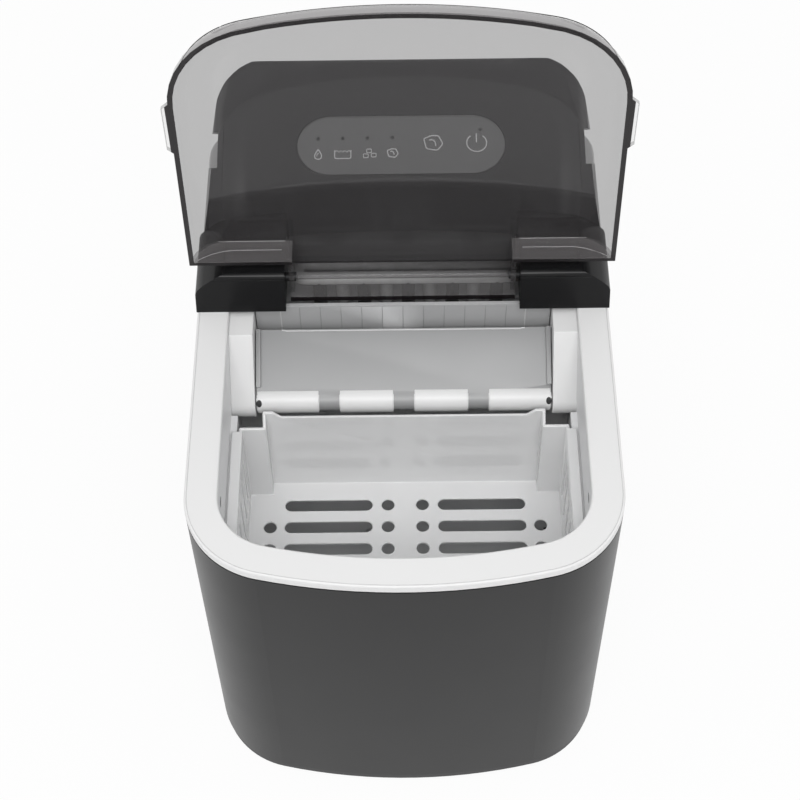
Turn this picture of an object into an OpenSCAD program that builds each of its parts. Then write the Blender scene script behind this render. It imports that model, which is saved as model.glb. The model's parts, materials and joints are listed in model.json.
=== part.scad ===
// Compact countertop ice maker with a tip-up lid, a lift-out basket and a tilting water tray.
// Frame: X across, Y from front to back, Z up, origin under the middle of the base.
// Inside the modules Y is counted from the front face, and place() moves it to the frame.

/* [Body] */
// Width of the body across its side walls
body_w = 222; // [214:1:240]
// Depth of the body from its front face to its back
body_d = 308; // [304:1:340]
// Height of the white rim above the underside of the base
rim_h = 230; // [226:1:260]
// Radius of the front corners in plan
corner_r = 48; // [40:1:60]
// Radius of the slight bulge of the front in plan
crown_r = 330; // [280:5:600]
// Radius of the rear corners in plan
rear_r = 22; // [12:1:30]
// Thickness of the outer shell
shell_t = 2.4; // [1.8:0.1:3]
// Depth of the shell before the rear panel takes over, from the back of the body
rear_wrap = 22; // [16:1:28]
// Height of the base plinth under the shell
plinth_h = 6; // [4:0.5:10]
// Inset of the plinth from the shell
plinth_in = 0.8; // [0:0.1:2]
// Thickness of the base floor
base_t = 2.6; // [2:0.1:4]
// Height of the base upstand inside the shell
upstand_h = 16; // [10:1:24]

/* [Feet] */
// Height of the feet under the base
foot_h = 4; // [2:0.5:8]
// Diameter of a foot
foot_dia = 18; // [12:1:24]
// Distance of a foot from the side wall
foot_in_x = 30; // [22:1:50]
// Distance of the front feet from the front face
foot_front = 40; // [34:1:60]
// Distance of the rear feet from the back
foot_rear = 30; // [24:1:50]

/* [Rim and tub] */
// Width of the white rim
rim_w = 17; // [15:0.5:20]
// Thickness of the white top frame
rim_t = 3.5; // [2.5:0.5:5]
// Thickness of the tub wall
tub_t = 2; // [1.6:0.1:3]
// Depth of the basket ledge under the rim
ledge_drop = 38; // [34:1:42]
// Width of the basket ledge
ledge_w = 3.5; // [3:0.5:5]
// Depth of the freezing chamber under the rim
chamber_h = 92; // [88:1:94]
// Fall of the chamber floor towards the tank
chamber_fall = 7; // [3:1:8]
// Back wall of the freezing chamber, from the back of the body
chamber_rear = 30; // [27:1:31]
// Back wall of the water tank, from the back of the body
tank_rear = 164; // [162:1:168]
// Height of the tank floor above the base underside
tank_floor = 38; // [34:1:60]
// Rear edge of the opening in the top frame, from the back of the body
frame_rear = 94; // [90:1:98]

/* [Ice basket] */
// Rear face of the basket, from the back of the body
basket_rear = 181; // [179:1:188]
// Wall thickness of the basket
basket_t = 1.8; // [1.4:0.1:2.4]
// Depth of the basket rim under the white rim
basket_drop = 35.4; // [34:0.2:35.6]
// Depth of the basket floor under the white rim
basket_floor = 96; // [84:1:104]
// Gap between the basket and the tub
basket_gap = 1.4; // [1:0.1:2.5]
// Diameter of the drain holes
hole_dia = 7; // [5:0.5:8]
// Distance between the rows of holes
row_pitch = 14.2; // [11:0.1:15]
// Rows of holes
rows = 6; // [3:1:6]
// Length of a slot between the centres of its ends
slot_len = 42; // [30:1:44]
// Half distance between the slots
slot_half = 22; // [18:0.5:24]
// Height of the rear ears over the basket rim
ear_h = 4.6; // [3:0.2:6]
// Width of the step in the rear corners of the basket
corner_w = 12.7; // [8:0.1:14]
// Depth of the step in the rear corners of the basket
corner_d = 7.4; // [5:0.1:8]

/* [Lid] */
// Height of the lid crown over the rim
lid_h = 17.6; // [15:0.2:19]
// Thickness of the lid
lid_t = 2.4; // [1.8:0.1:3]
// Overhang of the lid past the body
lid_over = 2; // [0.5:0.5:3]
// Taper of the lid from the hinge to its front corners
lid_taper = 1.5; // [0:0.5:3]
// Width of the curved shoulder round the lid
lid_shoulder = 18; // [14:1:22]
// Rear end of the lid between the sides and the hinge blocks, from the back of the body
lid_rear = 138.3; // [138.3:0.1:142]
// Angle of the open lid from its closed position
lid_open = 91.4; // [80:0.2:93]
// Gap between the closed lid and the rim
lid_gap = 0.3; // [0.2:0.1:0.8]
// Hinge axis, from the back of the body
hinge_in = 119.6; // [118:0.1:121]
// Hinge axis above the rim
hinge_h = 8.1; // [7.5:0.1:9]
// Diameter of the hinge pins
hinge_pin_dia = 5; // [4:0.5:6]
// Half width of the rear part of the lid between the hinge blocks
tail_hw = 61; // [55:1:61.5]
// Rear end of that part with the lid closed, from the back of the body
tail_rear = 108; // [107:0.5:110]
// Length of a finger tab
tab_len = 35; // [20:1:45]
// Distance of the finger tabs from the front face
tab_y = 52; // [50:1:70]
// Width of a finger tab
tab_w = 3.4; // [1.5:0.1:4]

/* [Hinge blocks and rear cover] */
// Front foot of the hinge blocks, from the back of the body
block_rear = 137.2; // [136:0.1:137.4]
// Height of the hinge blocks over the rim
block_h = 22.5; // [20:0.5:23]
// Lean of the front of the hinge blocks
block_lean = 7.7; // [6:0.1:10]
// Inner face of the hinge blocks from the middle
block_in = 63; // [62.6:0.1:66]
// Overhang of the hinge blocks past the body
block_over = 0.5; // [-0.5:0.1:0.5]
// Wall thickness of the blocks and the rear cover
cover_t = 2.2; // [1.8:0.1:3]
// Height of the rear cover over the rim
cover_h = 59; // [57:0.5:64]
// Front wall of the rear cover at its middle, from the back of the body
cover_depth = 82; // [79:1:83]
// Taper of each side of the rear cover at its top
cover_taper = 11; // [6:0.5:14]
// Radius of the rear corners of the rear cover at its top
cover_corner_r = 29; // [22:1:40]
// Radius of the hollow front wall of the rear cover
cover_hollow_r = 560; // [450:10:900]
// Height of the lower edge of the control face over the rim
face_z = 43; // [40:1:45]
// Rounding between the hollow wall and the control face
face_round = 7; // [4:0.5:9]
// Slope of the control face
face_slope = 13.9; // [10:0.5:15]

/* [Control panel] */
// Length of the oval control panel
panel_w = 113; // [90:1:130]
// Height of the oval control panel along the face
panel_h = 36; // [28:1:38]
// Thickness of the control panel
panel_t = 1.2; // [0.8:0.1:2]
// Lower end of the panel from the lower edge of the face
panel_up = -1.4; // [-1.4:0.2:4]

/* [Freezing unit] */
// Distance between the freezing fingers along a row
finger_pitch = 24.7; // [20:0.1:26]
// Fingers in the front row
fingers_front = 5; // [3:1:5]
// Diameter of a freezing finger
finger_dia = 7.6; // [6:0.2:8]
// Length of a freezing finger
finger_len = 30; // [20:1:31]
// Front row of fingers, from the back of the body
row_front_in = 105; // [103:0.1:106]
// Rear row of fingers, from the back of the body
row_rear_in = 94.5; // [94:0.1:96]
// Depth of the evaporator tubes under the rim
evap_drop = 11.5; // [11:0.1:14]
// Diameter of the evaporator tubes
evap_dia = 7.6; // [6:0.2:8]
// Shift of the fingers to the right
finger_shift = 3; // [0:0.5:4]

/* [Water tray and shovel] */
// Tray axle, from the back of the body
axle_in = 82; // [81:0.1:83]
// Tray axle under the rim
axle_drop = 14; // [13:0.1:16]
// Diameter of the tray axle
axle_dia = 6; // [4:0.5:7]
// Inner face of the front wall of the tray, from the back of the body
tray_in = 130; // [129.8:0.1:130.5]
// Depth of the tray floor under the rim
tray_floor = 52; // [50:0.5:54]
// Half width of the panel on the front of the tray
panel_hw = 67; // [50:1:72]
// Height of that panel
front_panel_h = 18.5; // [14:0.5:24]
// Wall thickness of the tray
tray_t = 2.2; // [1.8:0.1:3]
// Shovel pivot, from the back of the body
pivot_in = 167.3; // [166:0.1:168]
// Shovel pivot under the rim
pivot_drop = 40; // [38:0.5:42]
// Diameter of the shovel barrels
barrel_dia = 12.6; // [10:0.2:14]
// Diameter of the shovel rod
rod_dia = 4; // [3:0.5:5]
// Length of the shovel plate from its pivot
shovel_len = 38; // [30:1:38.5]
// Slope of the shovel plate at rest
shovel_slope = 30; // [26:1:40]
// Thickness of the shovel plate
shovel_t = 2.4; // [1.8:0.1:3]
// Width of a gap between the barrels
barrel_gap = 11; // [6:0.5:14]
// Distance between the gaps of the barrels
gap_pitch = 40.7; // [36:0.1:44]

/* [Side brackets] */
// Overall thickness of a side bracket
bracket_w = 13; // [12:0.5:14]
// Thickness of a bracket plate
bracket_t = 4; // [3:0.5:5]
// Radius of the bracket nose round the pivot
nose_r = 9; // [8:0.5:10]
// Slope of the bracket's front edge
bracket_slope = 52; // [48:1:56]
// Rear end of the brackets, from the back of the body
bracket_in = 62; // [58:1:64]
// Running gap beside the tray and shovel
side_gap = 0.6; // [0.4:0.1:1.5]

/* [Machine room] */
// Diameter of the compressor shell
comp_dia = 100; // [80:1:102]
// Clear height between the compressor and the freezing chamber
comp_clear = 21.4; // [18:0.5:40]
// Compressor from the right side wall
comp_in_x = 63; // [61:1:65]
// Compressor from the back of the body
comp_in_y = 82; // [80:1:90]
// Height of the grommets under the compressor
grommet_h = 8; // [6:0.5:10]
// Thickness of the condenser
cond_t = 38; // [26:1:40]
// Length of the condenser
cond_len = 100; // [80:1:104]
// Height of the condenser
cond_h = 100; // [80:1:108]
// Fins on the condenser
cond_fins = 20; // [8:1:28]
// Diameter of the fan
fan_dia = 88; // [70:1:92]
// Depth of the fan shroud
shroud_d = 24; // [20:1:26]
// Blades on the fan
fan_blades_n = 5; // [3:1:7]

/* [Hidden] */
$fn = 64;

eps = 0.05;
basket_back = body_d - basket_rear;
chamber_back = body_d - chamber_rear;
tank_back = body_d - tank_rear;
frame_back = body_d - frame_rear;
lid_back = body_d - lid_rear;
hinge_y = body_d - hinge_in;
tail_back = body_d - tail_rear;
block_front = body_d - block_rear;
cover_front = body_d - cover_depth;
row_front = body_d - row_front_in;
row_rear = body_d - row_rear_in;
axle_y = body_d - axle_in;
tray_front = body_d - tray_in;
pivot_y = body_d - pivot_in;
bracket_back = body_d - bracket_in;
shell_d = body_d - rear_wrap;
base_z = foot_h;
rim_z = base_z + rim_h;
frame_z = rim_z - rim_t;
shell_z = base_z + plinth_h;
half_w = body_w / 2;
tub_in = rim_w;
tub_hw = half_w - rim_w;
corner_x = half_w - corner_r;
corner_y = crown_r - sqrt(pow(crown_r - corner_r, 2) - pow(corner_x, 2));
floor_z = base_z + base_t;
room_z = rim_z - chamber_h - tub_t;
tank_z = base_z + tank_floor;

tank_in = tub_in + ledge_w;
lug_clear = 0.3;
wall_in = 2.4;
lip_h = 2.4;
run_fit = 0.05;
motor_fit = 0.4;
up_in = shell_t + lug_clear + wall_in;
screw_r = 1.6;
screw_len = 8;
screw_spots = [for (x = [-1, 1], z = [shell_z + upstand_h + 6, frame_z - 16]) [x * (half_w - rear_r - 6), z]];
head_t = 1.4;
louvre_n = 14;
louvre_gap = 8;
louvre_w = 120;
louvre_h = 2.8;
louvre_in = 60;
louvre_z = base_z + louvre_in;
wire_w = 40;

ledge_z = rim_z - ledge_drop;
ledge_end = basket_back + 2;
chamber_z = rim_z - chamber_h;
nipple_len = 14;
plate_in = tub_hw - bracket_w;
bracket_drop = 44;
bracket_rib = 2.6;
axle_z = rim_z - axle_drop;
pivot_z = rim_z - pivot_drop;
mech_hw = plate_in - side_gap;
hose_y = row_front - 9;
hose_z = rim_z - 9.5;
hose_r = 3.6;
line_r = 3;
line_x = half_w - shell_t - 6.5;
evap_z = rim_z - evap_drop;
finger_z = evap_z - evap_dia / 2 - finger_len + finger_dia / 2;
evap_hw = finger_pitch * (fingers_front - 1) / 2 + finger_dia;
tray_gear = [21, 30, 30];
tray_gear_z = axle_z - 8;
shovel_gear_r = 6;
shovel_gear_len = 21;
sensor_y = 60;
sensor_z = rim_z - 16;
sensor_r = 3;
sensor_box = [4, 12, 10];
foam_gap = 0.4;
foam_z = shell_z + upstand_h + foam_gap;
foam_top = pivot_z - 2 * shovel_gear_r;

basket_in = tank_in + basket_gap;
basket_top = rim_z - basket_drop;
basket_z = rim_z - basket_floor;
basket_hw = half_w - basket_in;
flange_w = ledge_w + basket_gap - 1;
row_in = 19.8;
row_back = basket_back - row_in;
hole_half = 9.7;
outer_hole = 75.6;
wall_draft = 3;
ear_out = basket_hw - corner_w;
ear_w = 10;
slit_n = 4;
slit_pitch = 13;

barrel_w = gap_pitch - barrel_gap;
barrel_end = mech_hw - gap_pitch - barrel_gap / 2;
rib_n = 6;
tray_hw = mech_hw;
tray_rear = axle_y - 3;
tray_top = rim_z - 2;
tray_low = rim_z - tray_floor;
end_top = rim_z - 17;
fillet = 6;

pump_in = 22;
pump_x = half_w - shell_t - pump_in;
pump_y = tank_back + tub_t + 19;
pump_z = floor_z;
pump_r = 15;
pump_h = 26;
pump_neck = 30;
inlet_r = 4;
inlet_z = tank_z + inlet_r + 2;

comp_y = body_d - comp_in_y;
comp_z = floor_z + grommet_h;
comp_top = room_z - comp_clear;
comp_h = comp_top - comp_z;
comp_x = half_w - comp_in_x;
foot_reach = 38;
plate_t = 2.5;
suction_z = comp_top - 14;
gas_z = suction_z + 9;
line_low = gas_z + 6.4;
valve_x = comp_x + 14;
valve_y = comp_y + comp_dia / 2 + 14;
valve_z = suction_z - 20.6;

fan_x = -(half_w - up_in - 0.4);
fan_y = comp_y;
fan_z = floor_z + 8 + fan_dia / 2;
grille_n = 12;
grille_slot = 3.2;
fan_r = fan_dia / 2;
spider_t = 3;
stator_r = 14;
stator_len = 9;
shaft_r = 1.5;
hub_r = 18;
hub_len = 10;
blade_tip = 2;
cond_x = fan_x + shroud_d + 0.6;
cond_y = fan_y - cond_len / 2;
cond_z = floor_z + 6;
cond_tube_r = 3;
cond_rows = 6;
drier_r = 8;
drier_len = 46;
drier_in = 14;
coil_r = 10;
coil_low = 32;
cap_r = 1.2;
tube_place = 0.72;

board_w = 100;
board_h = 74;
board_t = 1.6;
board_y = chamber_back + tub_t + 5;
board_z = room_z + 6;
part_h = 14;
post_r = 2.5;
post_in = 5;
block_gap = 0.2;
pin_len = 9;
pin_boss = 5;
key_post = 20;
display_t = 1.6;
display_drop = 7.6;
cover_round = 10;
face_y = cover_front + 6;
apron_d = 21.5;
apron_t = 1.6;
notch_rear = 31.8;
notch_w = 26.4;
notch_lean = 0.93;
notch_d = 11.2;
pocket_d = 9;
hose_wall = 1.45;
plug_len = 12;

// Moves a piece drawn from the front face to the frame in the middle of the base
module place() {
    translate([0, -body_d / 2, 0]) children();
}

// Rod along X from a starting point
module rod_x(start, len, r) {
    translate(start) rotate([0, 90, 0]) cylinder(h = len, r = r);
}

// Rod along Y from a starting point
module rod_y(start, len, r) {
    translate(start) rotate([-90, 0, 0]) cylinder(h = len, r = r);
}

// Rod along Z from a starting point
module rod_z(start, len, r) {
    translate(start) cylinder(h = len, r = r);
}

// Outline in the YZ plane, extruded along X
module side_extrude(x0, len) {
    translate([x0, 0, 0]) rotate([90, 0, 90]) linear_extrude(len) children();
}

// Plan of the body: a bulged front, round corners and straight sides, moved in by an inset
module plan(inset = 0) {
    hw = half_w - inset;
    reach = crown_r / (crown_r - corner_r) * 1.05;
    front_k = crown_r - (crown_r - corner_y) * reach;
    rr = max(rear_r - inset, 1);
    union() {
        translate([-hw, corner_y]) square([2 * hw, body_d - inset - rr - corner_y]);
        translate([-(hw - rr), body_d - inset - rr - eps]) square([2 * (hw - rr), rr + eps]);
        for (s = [-1, 1]) {
            translate([s * corner_x, corner_y]) circle(r = corner_r - inset);
            translate([s * (hw - rr), body_d - inset - rr]) circle(r = rr);
        }
        intersection() {
            translate([0, crown_r]) circle(r = crown_r - inset);
            polygon([
                [-corner_x, corner_y], [corner_x, corner_y],
                [corner_x * reach, front_k], [-corner_x * reach, front_k]
            ]);
        }
    }
}

// Plan moved in by an inset and cut off square at a depth
module plan_to(inset, back) {
    intersection() {
        plan(inset);
        translate([-body_w, -body_w]) square([2 * body_w, body_w + back]);
    }
}

// Plan between two depths
module plan_between(inset, front, back) {
    intersection() {
        plan(inset);
        translate([-body_w, front]) square([2 * body_w, back - front]);
    }
}

// Points on an arc, from one angle to another
function arc(cx, cy, r, a0, a1, n) =
    [for (i = [0 : n]) [cx + r * cos(a0 + (a1 - a0) * i / n), cy + r * sin(a0 + (a1 - a0) * i / n)]];

foot_spots = [
    for (x = [-1, 1], y = [foot_front, body_d - foot_rear]) [x * (half_w - foot_in_x), y]
];
foot_stem_r = foot_dia / 5;
drain_x = -22;
drain_r = 5;
drain_z = tank_z + drain_r + 1.4;
drain_cap_r = 9;
gland_x = -62;
gland_z = base_z + 42;
gland_r = 6;

// Plinth, floor and upstand of the base, with sockets for the feet
module base_tray() {
    color("#26282a") place() difference() {
        union() {
            translate([0, 0, base_z]) linear_extrude(base_t) plan(plinth_in);
            translate([0, 0, base_z]) linear_extrude(plinth_h) difference() {
                plan(plinth_in);
                plan(shell_t + lug_clear + wall_in);
            }
            translate([0, 0, base_z]) linear_extrude(plinth_h + upstand_h) difference() {
                plan(shell_t + lug_clear);
                plan(shell_t + lug_clear + wall_in);
            }
        }
        for (p = foot_spots) rod_z([p[0], p[1], base_z - eps], base_t + 2 * eps, foot_stem_r);
    }
}

// Rubber feet with stems pressed up through the base floor
module foot_pads() {
    color("#1b1b1c") place() for (p = foot_spots) {
        rod_z([p[0], p[1], 0], foot_h, foot_dia / 2);
        rod_z([p[0], p[1], foot_h - eps], base_t + eps, foot_stem_r);
        translate([p[0], p[1], foot_h + base_t]) cylinder(h = 1.6, r1 = foot_stem_r + 1, r2 = foot_stem_r);
    }
}

// Upright slots inside a circle, cut through a side wall
module side_grille(x0, len) {
    pitch = fan_dia / grille_n;
    for (i = [1 : grille_n - 1]) {
        y = -fan_dia / 2 + i * pitch;
        h = 2 * sqrt(pow(fan_dia / 2 - 2, 2) - y * y) - grille_slot;
        if (h > 2 * grille_slot) translate([x0, fan_y + y, fan_z]) {
            translate([0, -grille_slot / 2, -h / 2]) cube([len, grille_slot, h]);
            for (s = [-1, 1]) rod_x([0, 0, s * h / 2], len, grille_slot / 2);
        }
    }
}

// Front and side walls of the housing in one wrap, with the air outlet and inlet in its sides
module outer_shell() {
    color("#484a4c") place() difference() {
        translate([0, 0, shell_z]) linear_extrude(frame_z - lip_h - shell_z) difference() {
            plan_to(0, shell_d);
            plan(shell_t);
        }
        side_grille(-half_w - 1, shell_t + 2);
        side_grille(half_w - shell_t - 1, shell_t + 2);
    }
}

// Back wall with its corners, louvres, cable entry and drain pocket
module rear_panel() {
    color("#303234") place() difference() {
        union() {
            translate([0, 0, shell_z]) linear_extrude(frame_z - lip_h - shell_z) difference() {
                plan_between(0, shell_d, body_d);
                plan(shell_t);
            }
            rod_y([drain_x, body_d - pocket_d, drain_z], pocket_d - shell_t / 2, drain_cap_r + 3);
        }
        for (i = [0 : louvre_n - 1]) {
            z = louvre_z + i * louvre_gap;
            translate([-louvre_w / 2, body_d - shell_t - 1, z]) cube([louvre_w, shell_t + 2, louvre_h]);
            for (s = [-1, 1])
                rod_y([s * louvre_w / 2, body_d - shell_t - 1, z + louvre_h / 2], shell_t + 2, louvre_h / 2);
        }
        rod_y([drain_x, body_d - pocket_d + 2, drain_z], pocket_d, drain_cap_r + 1);
        rod_y([drain_x, body_d - pocket_d - 1, drain_z], pocket_d, drain_r + 1.5);
        rod_y([gland_x, body_d - shell_t - 1, gland_z], shell_t + 2, gland_r);
        for (p = screw_spots) {
            rod_y([p[0], body_d - shell_t - 1, p[1]], shell_t + 2, screw_r + 0.1);
            rod_y([p[0], body_d - head_t, p[1]], head_t + 1, 2 * screw_r + 0.3);
        }
        rod_y([gland_x, body_d - head_t, gland_z], head_t + 1, gland_r + 3.3);
    }
}

// Screws of the rear panel
module panel_screws() {
    color("#8d9093") place() for (p = screw_spots) {
        rod_y([p[0], body_d - shell_t - screw_len, p[1]], shell_t + screw_len - head_t + eps, screw_r);
        rod_y([p[0], body_d - head_t, p[1]], head_t - 0.2, 2 * screw_r);
    }
}

// White frame: the rim with its lip, and the ceiling of the freezing chamber
module top_frame() {
    color("#ededed") place() {
        difference() {
            union() {
                translate([0, 0, frame_z]) linear_extrude(rim_t) plan(0);
                translate([0, 0, frame_z - lip_h]) linear_extrude(lip_h + eps) difference() {
                    plan(0);
                    plan(shell_t + 0.6);
                }
            }
            translate([0, 0, frame_z - 1]) linear_extrude(rim_t + 2) plan_to(tub_in, frame_back);
            translate([-wire_w / 2, body_d - 22, frame_z - 1]) cube([wire_w, 8, rim_t + 2]);
        }
    }
}

// Holes for the water hose and the refrigerant lines
module line_passes(x0, len) {
    rod_x([x0, hose_y, hose_z], len, hose_r + motor_fit);
    for (y = [row_front, row_rear]) rod_x([x0, y, evap_z], len, line_r + motor_fit);
}

// White tub: upper walls with the basket ledge, freezing chamber and water tank
module inner_tub() {
    fit = motor_fit;
    color("#e6e6e6") place() difference() {
        union() {
            translate([0, 0, room_z]) linear_extrude(frame_z - room_z)
                plan_to(tub_in - tub_t, chamber_back + tub_t);
            translate([0, 0, tank_z - tub_t]) linear_extrude(room_z - tank_z + tub_t + eps)
                plan_to(tank_in - tub_t, tank_back + tub_t);
            rod_y([drain_x, tank_back, drain_z], nipple_len, drain_r);
        }
        translate([0, 0, ledge_z]) linear_extrude(rim_h) plan_to(tub_in, chamber_back);
        difference() {
            translate([0, 0, chamber_z]) linear_extrude(ledge_z - chamber_z + eps)
                plan_between(tub_in, ledge_end, chamber_back);
            side_extrude(-half_w, body_w) polygon([
                [tank_back, chamber_z - eps], [chamber_back + 1, chamber_z - eps],
                [chamber_back + 1, chamber_z + chamber_fall]
            ]);
        }
        translate([0, 0, tank_z]) linear_extrude(ledge_z - tank_z + eps) plan_to(tank_in, tank_back);
        rod_y([drain_x, tank_back - 1, drain_z], nipple_len + 2, drain_r - tub_t);
        rod_y([pump_x, tank_back - 1, inlet_z], tub_t + 2, inlet_r - 1.2);
        translate([-half_w, axle_y - tray_gear[1] / 2 - fit, tray_gear_z - tray_gear[2] / 2 - fit])
            cube([half_w - tub_hw + 2, tray_gear[1] + 2 * fit, tray_gear[2] + 2 * fit]);
        line_passes(tub_hw - 2, tub_t + 4);
        rod_x([tub_hw - 2, pivot_y, pivot_z], tub_t + 4, shovel_gear_r + fit);
        for (s = [-1, 1])
            rod_x([s > 0 ? tub_hw - 1 : -tub_hw - tub_t - 1, sensor_y, sensor_z], tub_t + 2, sensor_r + 0.1);
    }
}

// Ice-full sensor eyes, set into the tub walls over the basket
module ice_sensors() {
    color("#161616") place() for (s = [-1, 1]) {
        rod_x([s > 0 ? tub_hw + 0.2 : -tub_hw - tub_t, sensor_y, sensor_z], tub_t - 0.2, sensor_r);
        translate([s > 0 ? tub_hw + tub_t : -tub_hw - tub_t - sensor_box[0], sensor_y - sensor_box[1] / 2,
            sensor_z - sensor_box[2] / 2]) cube(sensor_box);
    }
}

// Foam jacket round the front and sides of the tank
module tub_foam() {
    step = room_z - 1;
    color("#d8d4c6") place() difference() {
        translate([0, 0, foam_z]) linear_extrude(foam_top - foam_z)
            plan_to(shell_t + foam_gap + lug_clear, tank_back);
        translate([0, 0, step]) linear_extrude(rim_h) plan_to(tub_in - tub_t, tank_back + 1);
        translate([0, 0, foam_z - 1]) linear_extrude(step - foam_z + 2)
            plan_to(tank_in - tub_t, tank_back + 1);
    }
}

// Outline of the basket with its stepped rear corners, moved in by an inset
module basket_plan(inset) {
    difference() {
        plan_to(basket_in + inset, basket_back - inset);
        for (s = [-1, 1])
            translate([s > 0 ? basket_hw - corner_w - inset : -body_w, basket_back - corner_d - inset])
                square([body_w - basket_hw + corner_w + inset, body_w]);
    }
}

// Sloping inner face of the rear wall of the basket, thicker towards the floor
module basket_draft(x0, len, back) {
    side_extrude(x0, len) polygon([
        [back, basket_top], [back - wall_draft, basket_z - 1], [back + basket_t, basket_z - 1],
        [back + basket_t, basket_top]
    ]);
}

// Lift-out ice basket with drain slots in its floor and slits in its sides
module ice_basket() {
    color("#cfd2d3", 0.75) place() difference() {
        union() {
            translate([0, 0, basket_z - basket_t]) linear_extrude(basket_t + basket_top - basket_z)
                basket_plan(0);
            translate([0, 0, ledge_z + lug_clear]) linear_extrude(basket_top - ledge_z - lug_clear)
                plan_to(basket_in - flange_w, basket_back - ear_w);
            for (s = [-1, 1]) mirror([s > 0 ? 0 : 1, 0, 0]) {
                translate([0, basket_back, 0]) rotate([90, 0, 0]) linear_extrude(basket_t) polygon([
                    [ear_out - ear_w, basket_top - eps], [ear_out - ear_w + ear_h, basket_top + ear_h],
                    [ear_out, basket_top + ear_h], [ear_out, basket_top - eps]
                ]);
                side_extrude(ear_out - basket_t, basket_t) polygon([
                    [basket_back - corner_d, basket_top - eps],
                    [basket_back - corner_d + ear_h, basket_top + ear_h],
                    [basket_back, basket_top + ear_h], [basket_back, basket_top - eps]
                ]);
            }
        }
        difference() {
            translate([0, 0, basket_z]) linear_extrude(rim_h) basket_plan(basket_t);
            basket_draft(-ear_out, 2 * ear_out, basket_back - basket_t);
            for (s = [-1, 1]) basket_draft(s > 0 ? ear_out - basket_t : -body_w, body_w - ear_out + basket_t,
                basket_back - corner_d - basket_t);
        }
        translate([0, 0, basket_z - basket_t - 1]) for (i = [0 : rows - 1]) {
            y = row_back - i * row_pitch;
            for (s = [-1, 1]) {
                translate([s * hole_half, y, 0]) cylinder(h = basket_t + 2, d = hole_dia);
                if (i % 3 != 0 && i < rows - 1) translate([s * outer_hole, y, 0])
                    cylinder(h = basket_t + 2, d = hole_dia);
                for (e = [0, 1]) translate([s * (slot_half + e * slot_len), y, 0])
                    cylinder(h = basket_t + 2, d = hole_dia);
                translate([s > 0 ? slot_half : -slot_half - slot_len, y - hole_dia / 2, 0])
                    cube([slot_len, hole_dia, basket_t + 2]);
            }
        }
        for (s = [-1, 1], i = [0 : slit_n - 1])
            translate([s * basket_hw - 4, basket_back - 24 - i * slit_pitch, basket_z + 10])
                cube([8, 3, basket_top - basket_z - 22]);
    }
}

// Profile of a side bracket: round nose under the pivot and a sloping front edge
module bracket_profile(inset) {
    r = nose_r - inset;
    top = frame_z - 0.2 - inset;
    tip = [pivot_y - r * sin(bracket_slope), pivot_z + r * cos(bracket_slope)];
    low = rim_z - bracket_drop + inset;
    polygon(concat(
        arc(pivot_y, pivot_z, r, 90 + bracket_slope, 270, 16),
        [[pivot_y + 30, low], [bracket_back - inset, low], [bracket_back - inset, top]],
        [[tip[0] + (top - tip[1]) / tan(bracket_slope), top]]
    ));
}

// Side bracket: a plate with a front flange, the shovel and axle bearings and the line passes
module side_bracket(side) {
    boss = 4;
    difference() {
        side_extrude(side > 0 ? plate_in : -tub_hw, bracket_w) bracket_profile(0);
        difference() {
            side_extrude(side > 0 ? plate_in + bracket_t : -tub_hw - 1, bracket_w - bracket_t + 1)
                bracket_profile(bracket_rib);
            if (side < 0) rod_x([-plate_in - bracket_t - boss, pivot_y, pivot_z], boss + 1, rod_dia / 2 + 2);
        }
        rod_x([side > 0 ? plate_in - 1 : -plate_in - bracket_t - boss - 1, pivot_y, pivot_z],
            bracket_t + boss + 2, rod_dia / 2 + run_fit);
        rod_x([side > 0 ? plate_in - 1 : -plate_in - bracket_t - 1, axle_y, axle_z],
            bracket_t + 2, axle_dia / 2 + run_fit);
        if (side > 0) line_passes(plate_in - 1, bracket_w + 2);
    }
}

module bracket_left() { color("#ececec") place() side_bracket(-1); }
module bracket_right() { color("#ececec") place() side_bracket(1); }

// Shovel plate with its barrels and side flanges
module ice_shovel() {
    r = barrel_dia / 2;
    root = r - shovel_t - 0.3;
    color("#c9cbcc") place() difference() {
        union() {
            for (s = [0, 1]) {
                rod_x([s > 0 ? mech_hw - barrel_end : -mech_hw, pivot_y, pivot_z], barrel_end, r);
                rod_x([s > 0 ? barrel_gap / 2 : -barrel_gap / 2 - barrel_w, pivot_y, pivot_z], barrel_w, r);
            }
            translate([0, pivot_y, pivot_z]) rotate([shovel_slope, 0, 0]) {
                translate([-mech_hw, 0, root]) cube([2 * mech_hw, shovel_len, shovel_t]);
                for (s = [-1, 1])
                    translate([s > 0 ? mech_hw - shovel_t : -mech_hw, r, root - 3])
                        cube([shovel_t, shovel_len - r, 6 + shovel_t]);
                for (i = [0 : rib_n - 1])
                    translate([-mech_hw + (i + 0.5) * 2 * mech_hw / rib_n - 0.8, r + 1, root - 3])
                        cube([1.6, shovel_len - r - 4, 3 + eps]);
            }
        }
        rod_x([-mech_hw - 1, pivot_y, pivot_z], 2 * mech_hw + 2, rod_dia / 2);
    }
}

// Steel rod through the barrels, turning in both brackets
module shovel_rod() {
    color("#b9bcbf") place() rod_x([-plate_in - bracket_t - 3, pivot_y, pivot_z],
        2 * (plate_in + bracket_t) + 3, rod_dia / 2);
}

// Gear motor of the shovel, in line with its rod
module shovel_motor() {
    x0 = plate_in + bracket_t;
    color("#9a9da0") place() union() {
        rod_x([x0, pivot_y, pivot_z], shovel_gear_len / 2, shovel_gear_r);
        rod_x([x0 + shovel_gear_len / 2, pivot_y, pivot_z], shovel_gear_len / 2, shovel_gear_r - 0.8);
    }
}

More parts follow.
